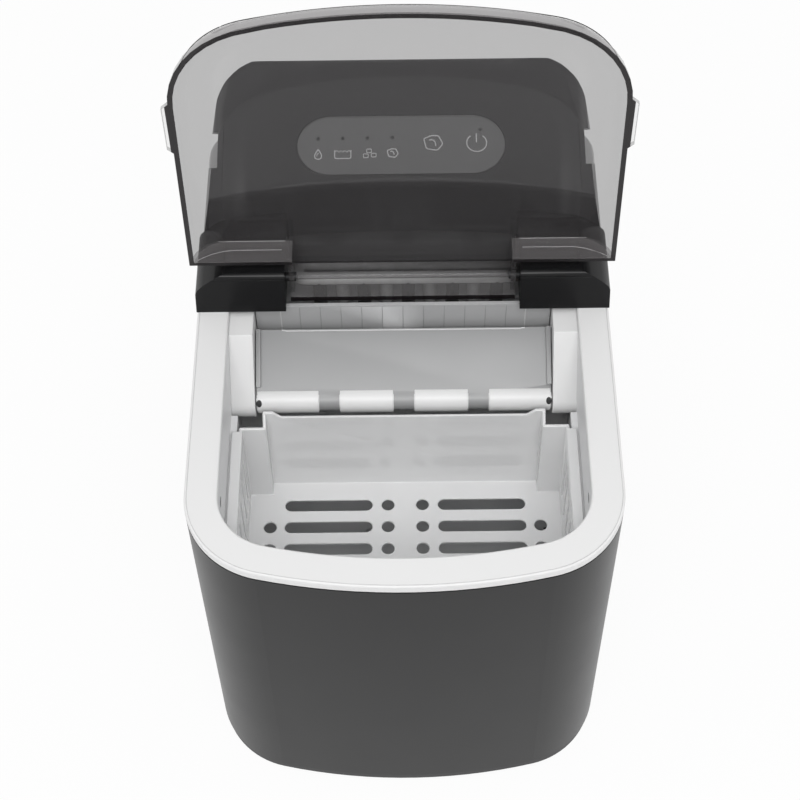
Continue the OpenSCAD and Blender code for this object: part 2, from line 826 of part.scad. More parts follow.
// Cross-section of the tray: the water space, or its outside with a wall thickness
module tray_section(t) {
    x0 = tray_front - t;
    x1 = tray_rear + t;
    z0 = tray_low - t;
    r = fillet + t;
    union() {
        translate([x0 + r, z0]) square([x1 - x0 - 2 * r, tray_top - z0]);
        translate([x0, z0 + r]) square([x1 - x0, end_top - z0 - r]);
        for (x = [x0 + r, x1 - r]) translate([x, z0 + r]) circle(r = r);
    }
}

// Tilting water tray: a trough with end plates, a ribbed front wall and its axle stubs
module water_tray() {
    boss_r = axle_dia / 2 + 2.5;
    pocket_n = 12;
    pocket_pitch = finger_pitch * 0.45;
    panel_low = tray_low + 10;
    groove = 0.8;
    step_t = 0.6;
    stub = bracket_t + side_gap - 0.4;
    color("#e9e9e9") place() {
        difference() {
            union() {
                side_extrude(-tray_hw, 2 * tray_hw) union() {
                    intersection() {
                        tray_section(tray_t);
                        translate([0, 0]) square([body_d, end_top]);
                    }
                    translate([axle_y, axle_z]) circle(r = boss_r);
                }
                translate([-tray_hw, tray_front - tray_t, end_top - eps])
                    cube([2 * tray_hw, tray_t, tray_top - end_top + eps]);
            }
            side_extrude(-tray_hw + tray_t, 2 * (tray_hw - tray_t)) union() {
                translate([tray_front + fillet, tray_low])
                    square([tray_rear - tray_front - 2 * fillet, rim_h]);
                translate([tray_front, tray_low + fillet]) square([tray_rear - tray_front, rim_h]);
                for (y = [tray_front + fillet, tray_rear - fillet])
                    translate([y, tray_low + fillet]) circle(r = fillet);
                translate([tray_rear - eps, end_top]) square([4 * boss_r, rim_h]);
                translate([axle_y, axle_z]) circle(r = boss_r + 0.4);
            }
            for (i = [0 : pocket_n])
                translate([(i - pocket_n / 2) * pocket_pitch - groove / 2, tray_front - tray_t - 1, panel_low])
                    cube([groove, 1 + groove, tray_top - panel_low - 1]);
            for (s = [-1, 1]) translate([s > 0 ? panel_hw : -tray_hw - 1, tray_front - tray_t - 1, panel_low])
                cube([tray_hw - panel_hw + 1, 1 + step_t, tray_top - panel_low + step_t]);
            translate([-tray_hw - 1, tray_front - tray_t - 1, tray_top - front_panel_h - 1])
                cube([2 * tray_hw + 2, 1 + step_t, 1.2]);
        }
        for (s = [-1, 1])
            rod_x([s > 0 ? tray_hw - eps : -tray_hw - stub, axle_y, axle_z], stub + eps, axle_dia / 2);
    }
}

// Gear motor of the tray, outside the left bracket
module tray_motor() {
    x0 = -plate_in - bracket_t;
    color("#8f9295") place() union() {
        translate([x0 - tray_gear[0], axle_y - tray_gear[1] / 2, tray_gear_z - tray_gear[2] / 2])
            cube(tray_gear);
    }
}

// Evaporator: two tubes joined by a bend, with the freezing fingers under them
module evaporator() {
    gap = row_rear - row_front;
    color("#c5b59c") place() {
        for (y = [row_front, row_rear])
            rod_x([finger_shift - evap_hw, y, evap_z], 2 * evap_hw, evap_dia / 2);
        translate([finger_shift - evap_hw, row_front + gap / 2, evap_z]) rotate([0, 0, 90])
            rotate_extrude(angle = 180) translate([gap / 2, 0]) circle(r = evap_dia / 2);
        for (row = [0, 1], i = [0 : fingers_front - 1 - row]) {
            x = finger_shift + (i - (fingers_front - 1 - row) / 2) * finger_pitch;
            translate([x, row == 0 ? row_front : row_rear, 0]) {
                rod_z([0, 0, finger_z], evap_z - finger_z, finger_dia / 2);
                translate([0, 0, finger_z]) sphere(r = finger_dia / 2);
            }
        }
    }
}

// Refrigerant lines: out through the right bracket and down beside the tub
module evaporator_lines() {
    x0 = finger_shift + evap_hw;
    color("#b87a4b") place() for (y = [row_front, row_rear]) {
        rod_x([x0, y, evap_z], line_x - x0, line_r);
        translate([line_x, y, evap_z]) sphere(r = line_r);
        rod_z([line_x, y, line_low], evap_z - line_low, line_r);
    }
}

// Water hose: from the pump up beside the tub and over the end of the tray
module pump_hose() {
    x0 = tray_hw - 6;
    low = pump_z + pump_neck;
    bore = hose_r - 1.2;
    color("#dfe3e4", 0.8) place() difference() {
        union() {
            rod_x([x0, hose_y, hose_z], line_x - x0, hose_r);
            translate([line_x, hose_y, hose_z]) sphere(r = hose_r);
            rod_z([line_x, hose_y, low], hose_z - low, hose_r);
        }
        rod_x([x0 - 1, hose_y, hose_z], line_x - x0 + 1, bore);
        translate([line_x, hose_y, hose_z]) sphere(r = bore);
        rod_z([line_x, hose_y, low - 1], hose_z - low + 1, bore);
    }
}

// Water pump with its outlet under the hose and its inlet from the tank
module water_pump() {
    back = tank_back + tub_t;
    color("#2c2e30") place() union() {
        rod_z([pump_x, pump_y, pump_z], pump_h, pump_r);
        rod_z([pump_x, pump_y, pump_z + pump_h - eps], 4, pump_r - 3);
        rod_z([line_x, hose_y, pump_z], pump_neck, hose_r);
        translate([pump_x, pump_y - hose_r, pump_z + 6]) cube([line_x - pump_x, 2 * hose_r, 12]);
        translate([line_x - hose_r, pump_y, pump_z + 6]) cube([2 * hose_r, hose_y - pump_y, 12]);
        rod_z([pump_x, back + 2 * inlet_r, pump_z + pump_h / 2], inlet_z - pump_z - pump_h / 2, inlet_r);
        translate([pump_x, back + 2 * inlet_r, inlet_z]) sphere(r = inlet_r);
        rod_y([pump_x, back, inlet_z], 2 * inlet_r, inlet_r);
    }
}

// Compressor: a welded shell on a foot plate, with its terminal box and suction tube
module compressor() {
    r = comp_dia / 2;
    dome = 14;
    low = comp_z + plate_t;
    seam = low + comp_h * 0.62;
    color("#1d1e20") place() {
        difference() {
            translate([comp_x - foot_reach - 8, comp_y - foot_reach - 8, comp_z])
                cube([2 * foot_reach + 16, 2 * foot_reach + 16, plate_t]);
            for (x = [-1, 1], y = [-1, 1])
                rod_z([comp_x + x * foot_reach, comp_y + y * foot_reach, comp_z - 1], plate_t + 2, 3 + run_fit);
        }
        translate([comp_x, comp_y, 0]) rotate_extrude() polygon(concat(
            [[0, low - eps], [r - dome - 6, low - eps], [r - 6, low + dome]],
            [[r - 2, low + dome + 6], [r - 2, seam - 4], [r, seam - 4], [r, seam + 2], [r - 3, seam + 2]],
            arc(r - 3 - dome, comp_top - dome, dome, 0, 90, 6), [[0, comp_top]]
        ));
        translate([comp_x - 16, comp_y - r - 10, low + 24]) cube([32, 16, 34]);
        rod_x([comp_x + r - 12, comp_y, suction_z], line_x - comp_x - r + 12, line_r);
        translate([line_x, comp_y, suction_z]) sphere(r = line_r);
        rod_y([line_x, row_front, suction_z], comp_y - row_front, line_r);
        translate([line_x, row_front, suction_z]) sphere(r = line_r);
        rod_z([line_x, row_front, suction_z], line_low - suction_z, line_r);
        rod_y([valve_x, comp_y + r - 12, valve_z], valve_y - 8 - comp_y - r + 12, line_r);
        rod_z([comp_x, comp_y, comp_top - 1], 3, 4);
    }
}

// Rubber grommets between the base and the foot plate
module compressor_grommets() {
    color("#101010") place() for (x = [-1, 1], y = [-1, 1])
        translate([comp_x + x * foot_reach, comp_y + y * foot_reach, floor_z]) {
            cylinder(h = grommet_h * 0.4, r = 7);
            cylinder(h = grommet_h, r = 5.5);
            translate([0, 0, grommet_h * 0.6]) cylinder(h = grommet_h * 0.4, r = 7);
            cylinder(h = grommet_h + plate_t + 1, r = 3);
            translate([0, 0, grommet_h + plate_t]) cylinder(h = 1.5, r = 5);
        }
}

// Condenser: tube rows with bends through a pack of fins and two end plates
module condenser() {
    fin_pitch = (cond_len - 2) / cond_fins;
    rise = cond_h / cond_rows;
    x1 = cond_x + cond_t * (1 - tube_place);
    x2 = cond_x + cond_t * tube_place;
    gap = x2 - x1;
    color("#a9adb0") place() union() {
        for (i = [0 : cond_fins])
            translate([cond_x, cond_y + i * fin_pitch, cond_z])
                cube([cond_t, i == 0 || i == cond_fins ? 1.6 : 0.6, cond_h]);
        for (k = [0 : cond_rows - 1]) {
            z = cond_z + (k + 0.5) * rise;
            for (x = [x1, x2]) rod_y([x, cond_y, z], cond_len, cond_tube_r);
            translate([(x1 + x2) / 2, cond_y + cond_len, z]) rotate_extrude(angle = 180)
                translate([gap / 2, 0]) circle(r = cond_tube_r, $fn = 24);
            if (k < cond_rows - 1)
                translate([k % 2 == 0 ? x1 : x2, cond_y, z + rise / 2]) rotate([0, -90, 180])
                    rotate_extrude(angle = 180) translate([rise / 2, 0]) circle(r = cond_tube_r, $fn = 24);
        }
        for (x = [cond_x, cond_x + cond_t - 6])
            translate([x, cond_y + cond_len / 2 - 12, floor_z]) cube([6, 24, cond_z - floor_z + eps]);
    }
}

// Fan shroud: a square frame with a round duct, and a spider for the motor
module fan_shroud() {
    half = fan_r + 4;
    color("#1f2123") place() translate([fan_x, fan_y, fan_z]) {
        difference() {
            translate([0, -half, -half]) cube([shroud_d, 2 * half, 2 * half]);
            rod_x([-1, 0, 0], shroud_d + 2, fan_r);
            for (y = [-1, 1], z = [-1, 1]) rod_x([-1, y * (half - 6), z * (half - 6)], shroud_d + 2, 2.2);
        }
        for (a = [0 : 90 : 270]) rotate([a, 0, 0])
            translate([0, -2.5, stator_r - 2]) cube([spider_t, 5, fan_r - stator_r + 4]);
        difference() {
            rod_x([0, 0, 0], spider_t, stator_r);
            rod_x([-1, 0, 0], spider_t + 2, shaft_r + 2);
        }
        for (y = [-1, 1]) translate([2, y * (half - 14) - 5, floor_z - fan_z])
            cube([shroud_d - 4, 10, fan_z - half - floor_z + eps]);
    }
}

// Fan motor on the spider, with its shaft
module fan_motor() {
    color("#3c3f42") place() translate([fan_x, fan_y, fan_z]) {
        rod_x([spider_t, 0, 0], stator_len, stator_r);
        rod_x([0.5, 0, 0], spider_t, shaft_r + 1.9);
        rod_x([spider_t + stator_len - eps, 0, 0], hub_len - 3.5, shaft_r);
    }
}

// Fan: hub and tilted blades, turning on the motor shaft
module fan_blades() {
    x0 = spider_t + stator_len + 0.6;
    blade_l = fan_r - hub_r - blade_tip + 3;
    color("#2a2c2e") place() translate([fan_x, fan_y, fan_z]) difference() {
        union() {
            rod_x([x0, 0, 0], hub_len, hub_r);
            intersection() {
                union() for (i = [0 : fan_blades_n - 1]) rotate([i * 360 / fan_blades_n, 0, 0])
                    translate([x0 + hub_len / 2, 0, hub_r - 3]) rotate([0, 0, 28])
                        translate([-0.8, -hub_len * 1.5, 0]) cube([1.6, hub_len * 3, blade_l + 3]);
                rod_x([x0 - 8, 0, 0], hub_len + 8, fan_r - blade_tip);
            }
        }
        rod_x([x0 - 1, 0, 0], hub_len - 2, shaft_r + run_fit);
        difference() {
            rod_x([x0 - 9, 0, 0], 9 + eps, stator_r + 2);
            rod_x([x0 - eps, 0, 0], 1, hub_r);
        }
    }
}

// Filter drier between the condenser and the capillary tube, which ends in the evaporator line
module filter_drier() {
    z = cond_z + cond_h - cond_h / cond_rows / 2;
    y = cond_y - drier_in;
    x = cond_x + cond_t * tube_place;
    bend_x = line_x - hose_r - line_r - 1.4;
    top = line_low + drier_r;
    end = x + 2 * drier_r + drier_len;
    color("#b4713f") place() union() {
        rod_y([x, y, z], drier_in, cond_tube_r);
        translate([x, y, z]) sphere(r = cond_tube_r);
        rod_x([x, y, z], drier_r, cond_tube_r);
        rod_x([x + drier_r - eps, y, z], drier_len, drier_r);
        rod_x([x + drier_r + drier_len - 2 * eps, y, z], drier_r, cond_tube_r);
        rod_x([end - 3 * eps, y, z], bend_x - end + 3 * eps, cap_r);
        translate([bend_x, y, z]) sphere(r = cap_r);
        rod_z([bend_x, y, z], top - z, cap_r);
        translate([bend_x, y, top]) sphere(r = cap_r);
        rod_y([bend_x, y, top], row_front - y, cap_r);
        translate([bend_x, row_front, top]) sphere(r = cap_r);
        rod_x([bend_x, row_front, top], line_x - line_r - bend_x, cap_r);
    }
}

// Hot gas valve behind the compressor, with its coil and the line to the evaporator
module hot_gas_valve() {
    w = 1.6 * coil_r;
    stem = 4;
    color("#c49a4a") place() union() {
        translate([valve_x - w / 2, valve_y - w / 2, valve_z - w / 2]) cube(w);
        rod_z([valve_x, valve_y, valve_z - coil_low], coil_low - stem, stem);
        rod_z([valve_x, valve_y, valve_z - coil_low], 2 * coil_r, coil_r);
        rod_z([valve_x, valve_y, valve_z + w / 2 - eps], gas_z - valve_z - w / 2, line_r);
        translate([valve_x, valve_y, gas_z]) sphere(r = line_r + 0.3);
        rod_x([valve_x, valve_y, gas_z], line_x - valve_x, line_r);
        translate([line_x, valve_y, gas_z]) sphere(r = line_r + 0.3);
        rod_y([line_x, row_rear, gas_z], valve_y - row_rear, line_r);
        translate([line_x, row_rear, gas_z]) sphere(r = line_r + 0.3);
        rod_z([line_x, row_rear, gas_z], line_low - gas_z, line_r);
    }
}

// Drain hose from the tank spout to the pocket in the rear panel
module drain_hose() {
    y0 = tank_back + tub_t + 1;
    color("#8f959a") place() difference() {
        rod_y([drain_x, y0, drain_z], body_d - pocket_d + 2 - y0, drain_r + hose_wall);
        rod_y([drain_x, y0 - 1, drain_z], body_d - pocket_d + 4 - y0, drain_r + run_fit);
    }
}

// Drain plug, pulled out backwards
module drain_plug() {
    y0 = body_d - pocket_d + 2;
    color("#141414") place() difference() {
        union() {
            rod_y([drain_x, y0 - plug_len, drain_z], plug_len + eps, drain_r);
            rod_y([drain_x, y0 + run_fit, drain_z], pocket_d - 3, drain_cap_r);
        }
        for (s = [-1, 1])
            translate([drain_x + (s > 0 ? 2 : -12), y0 + pocket_d - 6, drain_z - 12]) cube([10, 6, 24]);
    }
}

// Cable entry of the rear panel, with its nut inside
module cord_gland() {
    color("#131313") place() difference() {
        union() {
            rod_y([gland_x, body_d - head_t, gland_z], head_t - 0.2, gland_r + 3);
            rod_y([gland_x, body_d - shell_t - 12, gland_z], shell_t + 12 - head_t + eps, gland_r - 0.1);
            rod_y([gland_x, body_d - shell_t - 6, gland_z], 6, gland_r + 3);
        }
        rod_y([gland_x, body_d - shell_t - 13, gland_z], shell_t + 14, gland_r - 2.4);
    }
}

// Control board behind the chamber, on standoffs
module main_board() {
    back = chamber_back + tub_t;
    y = board_y + board_t - eps;
    x0 = -board_w / 2;
    step = board_w / 6;
    color("#2f6b45") place() union() {
        translate([x0, board_y, board_z]) cube([board_w, board_t, board_h]);
        for (x = [x0 + post_in, -x0 - post_in], z = [post_in, board_h - post_in])
            rod_y([x, back, board_z + z], board_y - back + eps, post_r);
        translate([x0 + post_in, y, board_z + 1.6 * post_in]) cube([1.8 * step, part_h, 1.6 * step]);
        for (i = [0 : 2]) translate([-step / 2 + i * step, y, board_z + 1.6 * post_in])
            cube([0.8 * step, 0.8 * part_h, step]);
        for (i = [0 : 1])
            rod_y([(0.9 * i - 1.4) * step, y, board_z + 0.65 * board_h], 0.85 * part_h, 2 * post_r);
        translate([0, y, board_z + 0.54 * board_h]) cube([1.1 * step, 0.2 * part_h, 1.1 * step]);
        for (i = [0 : 3])
            translate([x0 + 1.6 * post_in + i * 1.3 * step, y, board_z + board_h - 1.6 * post_in])
                cube([0.85 * step, part_h / 2, 1.2 * post_in]);
    }
}

// Space in front of the concave wall of the rear cover, with the round lower edge of the face
module cover_hollow(t) {
    f = face_round - t;
    low = face_z + (cover_front + face_round - face_y) * tan(face_slope) - face_round / cos(face_slope);
    translate([0, cover_front - cover_hollow_r, 0]) rotate_extrude($fn = 360) polygon(concat(
        [[0, -4 * cover_t], [cover_hollow_r + t, -4 * cover_t]],
        arc(cover_hollow_r + face_round, low, f, 180, 90 + face_slope, 8),
        [[cover_hollow_r + face_round - f * sin(face_slope), 2 * cover_h], [0, 2 * cover_h]]
    ));
}

// Plan inside the concave wall of the rear cover
module cover_wall(shift) {
    translate([0, cover_front - cover_hollow_r]) circle(r = cover_hollow_r + shift, $fn = 360);
}

// Side profile of a hinge block
module block_side(t) {
    tip = block_front + block_lean;
    r = 3;
    polygon(concat(
        [[block_front + t, -t], [tip + t * 0.9 - r * 0.7, block_h - t - r]],
        arc(tip + t + r * 0.35, block_h - t - r, r, 180, 90, 6),
        [[cover_front + 2, block_h - t], [cover_front + 2, -t]]
    ));
}

shoulder = [[17, 22.5], [14, 22], [11, 20.8], [5, 16.8], [1.2, 13.4], [0.2, 11]];

// Front profile of a hinge block, from its inner face to the body side
module block_face(t) {
    out = half_w + block_over - t;
    k = block_h / 22.5;
    polygon(concat(
        [[block_in + t, -t], [block_in + t, block_h - t]],
        [for (q = shoulder) [out - q[0], q[1] * k - t]],
        [[out, -t]]
    ));
}

// Solid of a hinge block on the right side, with a wall offset
module block_solid(t) {
    intersection() {
        side_extrude(block_in, half_w - block_in + 2) block_side(t);
        translate([0, cover_front + 2, 0]) rotate([90, 0, 0]) linear_extrude(cover_front) block_face(t);
        translate([0, 0, -t]) linear_extrude(block_h + 2 * t) cover_wall(-block_gap - t);
    }
}

// Hinge block: a hollow cover with a boss for the lid pin
module hinge_block(side) {
    color("#0e0e10") place() translate([0, 0, rim_z]) mirror([side > 0 ? 0 : 1, 0, 0]) difference() {
        union() {
            difference() {
                block_solid(0);
                block_solid(cover_t);
            }
            intersection() {
                block_solid(0);
                rod_x([block_in, hinge_y, hinge_h], pin_len, pin_boss);
            }
        }
        rod_x([block_in - 1, hinge_y, hinge_h], pin_len, hinge_pin_dia / 2 + 0.02);
    }
}

module hinge_block_left() {
    hinge_block(-1);
}

module hinge_block_right() {
    hinge_block(1);
}

// Lid pins, held in the hinge blocks
module hinge_pins() {
    color("#b4b7ba") place() for (s = [-1, 1])
        rod_x([s > 0 ? tail_hw - 3.5 : -block_in - pin_len + 2, hinge_y, rim_z + hinge_h],
            block_in - tail_hw + pin_len + 1.5, hinge_pin_dia / 2);
}

dome = [[0, 0], [0.6, 5], [3, 10], [8, 14.8], [14, 17.1], [19, 17.6]];

// Spread outline of the lid, a little narrower at its front corners
module lid_plan(out, back) {
    x = corner_x - lid_taper;
    intersection() {
        translate([0, crown_r]) circle(r = crown_r + out, $fn = 200);
        translate([-x, -body_w]) square([2 * x, body_w + corner_y / 2]);
    }
    for (s = [-1, 1]) translate([s * x, corner_y]) circle(r = corner_r + out, $fn = 40);
    translate([-half_w - out, back - 1]) square([body_w + 2 * out, 1]);
}

// Lid shape: plan slabs joined into a low dome, moved in by a wall
module lid_dome(t) {
    k = lid_h / dome[5][1];
    hull() for (d = dome)
        translate([0, 0, d[1] == 0 ? lid_gap - t : d[1] * k - t - eps]) linear_extrude(eps)
            lid_plan(lid_over - d[0] * lid_shoulder / 18 - t, lid_back - t);
}

// Clear lid in its closed place, with the tail that carries the hinge
module lid_closed() {
    t = lid_t;
    deep = tail_back - lid_back;
    difference() {
        union() {
            difference() {
                lid_dome(0);
                lid_dome(t);
            }
            translate([-tail_hw, lid_back - 2 * t, lid_h - t]) cube([2 * tail_hw, deep + 2 * t - 1, t]);
            translate([-tail_hw, tail_back - t - 1, 0.5]) cube([2 * tail_hw, t + 1, lid_h - 2]);
            translate([-tail_hw, tail_back - t - 1.5, lid_h - t]) rotate([0, 90, 0])
                cylinder(h = 2 * tail_hw, r = t);
            for (s = [-1, 1]) translate([s > 0 ? tail_hw - t : -tail_hw, 0, 0]) {
                translate([0, lid_back - t, hinge_h - 4]) cube([t, deep, lid_h - hinge_h + 3]);
                rod_x([0, hinge_y, hinge_h], t, hinge_pin_dia / 2 + 3);
            }
            for (s = [-1, 1])
                translate([s * (half_w + lid_over - lid_taper), tab_y, lid_gap]) linear_extrude(t)
                    polygon([[-s * 1, 0], [s * tab_w, 4], [s * tab_w, tab_len - 4], [-s * 1, tab_len]]);
        }
        translate([-tail_hw + t, lid_back - t - 1, 0]) cube([2 * (tail_hw - t), t + 2, lid_h - t]);
        rod_x([-tail_hw - 1, hinge_y, hinge_h], 2 * tail_hw + 2, hinge_pin_dia / 2 + run_fit);
    }
}

// Lid standing open on its pins
module lid() {
    color("#6f7274", 0.5) place() translate([0, hinge_y, rim_z + hinge_h]) rotate([-lid_open, 0, 0])
        translate([0, -hinge_y, -hinge_h]) lid_closed();
}

front_pts = [[70, 56.5], [90, 53], [98, 50], [102.5, 46], [105, 42], [106.7, 35], [108.6, 20], [110.8, 0]];

// Front view of the rear cover, with a wall offset
module cover_face(t) {
    k = cover_h / 59;
    out = half_w / 111;
    polygon(concat(
        [[0, -t * 1.5]],
        [for (i = [7 : -1 : 0]) [front_pts[i][0] * out - t, max(front_pts[i][1] * k - t, -t * 1.5)]],
        [for (i = [0 : 8]) [(56 - 14 * i) * out, (cover_h - 2.5 * k * pow((4 - i) * 14 / 70, 2)) - t]],
        [for (i = [0 : 7]) [-front_pts[i][0] * out + t, max(front_pts[i][1] * k - t, -t * 1.5)]]
    ));
}

// Side view of the rear cover, with a wall offset
module cover_side(t) {
    r = cover_round - t;
    y0 = cover_front - 20;
    y1 = body_d - t;
    top_y = body_d - cover_round - 7;
    polygon(concat(
        [[y0, -t * 1.5], [y0, face_z - t + (y0 - face_y) * tan(face_slope)]],
        [[top_y, face_z - t + (top_y - face_y) * tan(face_slope)]],
        arc(y1 - r, face_z + (top_y - face_y) * tan(face_slope) + 0.8 - t - r, r, 80, 0, 8),
        [[y1, -t * 1.5]]
    ));
}

// Plan of the rear cover at its top, narrower and rounder than the body
module cover_top(t) {
    r = cover_corner_r - t;
    hw = half_w - cover_taper - t;
    translate([-hw, 0]) square([2 * hw, body_d - t - r]);
    translate([-hw + r, 0]) square([2 * (hw - r), body_d - t]);
    for (s = [-1, 1]) translate([s * (hw - r), body_d - t - r]) circle(r = r);
}

// Solid of the rear cover, with a wall offset
module cover_solid(t) {
    intersection() {
        side_extrude(-half_w - 1, body_w + 2) cover_side(t);
        translate([0, body_d + 1, 0]) rotate([90, 0, 0]) linear_extrude(body_d) cover_face(t);
        difference() {
            hull() {
                translate([0, 0, -t * 1.5 - eps]) linear_extrude(eps) plan(t, $fn = 40);
                translate([0, 0, cover_h + 1 - t]) linear_extrude(eps) cover_top(t, $fn = 40);
            }
            cover_hollow(t);
        }
    }
}

// Long round-ended outline of the control panel
module oval(w, h) {
    translate([-(w - h) / 2, -h / 2]) square([w - h, h]);
    for (s = [-1, 1]) translate([s * (w - h) / 2, 0]) circle(d = h);
}

// Puts a piece drawn flat onto the sloping face of the cover
module on_face(z = 0) {
    translate([0, face_y, rim_z + face_z]) rotate([face_slope, 0, 0])
        translate([0, panel_up + panel_h / 2, z]) children();
}

// Slanting grips in the sides of the rear cover, or the pockets behind them
module grip_notches(t) {
    top = cover_h + 4;
    y0 = body_d - notch_rear - t;
    w = notch_w + 2 * t;
    for (s = [-1, 1]) side_extrude(s > 0 ? half_w - notch_d - t : -half_w - 4, notch_d + t + 4) polygon([
        [y0, rim_z - t], [y0 + w, rim_z - t],
        [y0 + w - notch_lean * top, rim_z + top], [y0 - notch_lean * top, rim_z + top]
    ]);
}

// Black rear cover, hollow, with the seat of the control panel and two grip notches
module rear_cover() {
    color("#17181a") place() difference() {
        union() {
            translate([0, 0, rim_z]) difference() {
                cover_solid(0);
                cover_solid(cover_t);
            }
            intersection() {
                translate([0, 0, rim_z]) cover_solid(0);
                grip_notches(cover_t);
            }
            translate([-block_in + block_gap, cover_front - apron_d, rim_z])
                cube([2 * (block_in - block_gap), apron_d + eps, apron_t]);
            for (x = [-1, 1]) on_face(display_t - display_drop) translate([x * (panel_w / 2 - 8.5), 0, 0])
                cylinder(h = display_drop - display_t - panel_t - 0.2, r = post_r);
        }
        on_face(-panel_t) linear_extrude(10) oval(panel_w + 0.6, panel_h + 0.6);
        grip_notches(0);
        for (s = [-1, 1]) on_face(-8) translate([s * key_post, 0, 0]) linear_extrude(10)
            circle(r = post_r + 0.5);
    }
}

// Display board under the cover, held by its key posts against the panel
module display_board() {
    w = panel_w - 2 * post_in + 2;
    h = panel_h - 2 * post_in + 1;
    led = 2 * display_t;
    top = display_drop - display_t;
    color("#2f6b45") place() union() {
        on_face(-display_drop) translate([-w / 2, -h / 2, 0]) cube([w, h, display_t]);
        for (s = [-1, 1]) on_face(-top - eps) translate([s * key_post, 0, 0])
            cylinder(h = top - panel_t - lug_clear, r = post_r);
        for (i = [0 : 3]) on_face(-top - eps) translate([(0.12 * i - 0.4) * w, h / 5, 0])
            cube([led, led, display_t]);
    }
}

// Flat control panel, set flush in the cover
module control_panel() {
    color("#3a3d40") place() on_face(-panel_t) linear_extrude(panel_t - 0.1) oval(panel_w, panel_h);
}

base_tray();
foot_pads();
outer_shell();
rear_panel();
top_frame();
inner_tub();
tub_foam();
ice_basket();
bracket_left();
bracket_right();
ice_shovel();
shovel_rod();
shovel_motor();
water_tray();
tray_motor();
evaporator();
evaporator_lines();
pump_hose();
water_pump();
compressor();
compressor_grommets();
condenser();
fan_shroud();
fan_motor();
fan_blades();
filter_drier();
hot_gas_valve();
drain_hose();
drain_plug();
cord_gland();
main_board();
hinge_block_left();
hinge_block_right();
hinge_pins();
lid();
rear_cover();
display_board();
control_panel();
panel_screws();
ice_sensors();
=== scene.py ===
# Countertop ice maker: finishes, finer pieces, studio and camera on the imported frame.
import json
import math
import bmesh
import bpy
import numpy as np
from mathutils import Matrix, Vector


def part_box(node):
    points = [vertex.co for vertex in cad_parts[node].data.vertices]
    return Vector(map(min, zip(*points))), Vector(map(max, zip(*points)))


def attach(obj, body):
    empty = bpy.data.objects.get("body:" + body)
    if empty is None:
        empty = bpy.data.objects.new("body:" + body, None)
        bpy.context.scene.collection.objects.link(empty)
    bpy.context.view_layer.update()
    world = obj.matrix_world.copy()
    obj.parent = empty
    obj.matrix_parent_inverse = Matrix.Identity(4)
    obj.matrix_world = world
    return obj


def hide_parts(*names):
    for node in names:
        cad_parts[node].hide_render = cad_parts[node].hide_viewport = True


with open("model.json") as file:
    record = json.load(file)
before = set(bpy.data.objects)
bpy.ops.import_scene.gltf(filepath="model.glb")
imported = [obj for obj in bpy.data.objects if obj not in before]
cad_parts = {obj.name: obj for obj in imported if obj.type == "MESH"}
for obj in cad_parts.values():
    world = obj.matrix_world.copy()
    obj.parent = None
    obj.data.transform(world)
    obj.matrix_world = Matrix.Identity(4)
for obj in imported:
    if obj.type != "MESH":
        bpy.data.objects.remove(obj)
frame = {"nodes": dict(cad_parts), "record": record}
nodes = frame["nodes"]
bpy.context.view_layer.update()
bodyOf = {n: b for b, members in frame["record"]["behaviour"]["bodies"].items() for n in members}
jointOf = {j["name"]: j for j in frame["record"]["behaviour"]["joints"]}
print("frame loaded:", len(nodes), "nodes")

# main sizes of the body, in metres, with the depth measured from the front face
body = {"halfWidth": 0.111, "depth": 0.308, "rimTop": 0.234, "crownRadius": 0.330, "cornerRadius": 0.048}
frontY = -body["depth"] / 2
sharpAngle = 35  # degrees between two faces from which their edge counts as sharp
weldGap = 0.000004  # doubles closer than this become one, in metres

cameraSet = {"place": (0.0034, -0.5759, 0.9869), "lens": 79.74, "pitch": 54.69, "turn": 0.567, "roll": -1.087}


def makeCamera(c):
    # looks along a heading turned from +Y and pitched down, then rolled about that line
    p, a, r = (math.radians(c[k]) for k in ("pitch", "turn", "roll"))
    forward = Vector((-math.sin(a) * math.cos(p), math.cos(a) * math.cos(p), -math.sin(p)))
    right = Vector((math.cos(a), math.sin(a), 0))
    up = right.cross(forward)
    right, up = right * math.cos(r) + up * math.sin(r), up * math.cos(r) - right * math.sin(r)
    data = bpy.data.cameras.new("mainCamera")
    data.lens = c["lens"]
    data.sensor_width = 36
    data.clip_start = 0.05
    data.clip_end = 30
    cam = bpy.data.objects.new("mainCamera", data)
    turn = Matrix((right, up, -forward)).transposed().to_4x4()
    cam.matrix_world = Matrix.Translation(c["place"]) @ turn
    bpy.context.scene.collection.objects.link(cam)
    bpy.context.scene.camera = cam


makeCamera(cameraSet)
print("camera placed")


def newObject(name, verts, faces, smooth=True):
    mesh = bpy.data.meshes.new(name)
    mesh.from_pydata(np.asarray(verts, dtype=float).tolist(), [], [list(f) for f in faces])
    mesh.update()
    mesh.polygons.foreach_set("use_smooth", np.full(len(mesh.polygons), smooth))
    obj = bpy.data.objects.new(name, mesh)
    bpy.context.scene.collection.objects.link(obj)
    return obj


def turnOut(obj):
    # turns all faces outwards
    b = bmesh.new()
    b.from_mesh(obj.data)
    bmesh.ops.recalc_face_normals(b, faces=b.faces)
    b.to_mesh(obj.data)
    b.free()


def gridFaces(rows, cols, wrapRows=False, wrapCols=False, start=0):
    # quads between neighbouring grid points, with the last row or column joined to the first where it wraps
    i = np.arange(rows if wrapRows else rows - 1)[:, None]
    j = np.arange(cols if wrapCols else cols - 1)[None, :]
    i2, j2 = (i + 1) % rows, (j + 1) % cols
    quad = np.stack([i * cols + j + 0 * i2, i2 * cols + j, i2 * cols + j2, i * cols + j2 + 0 * i2], axis=-1)
    return (quad.reshape(-1, 4) + start).tolist()


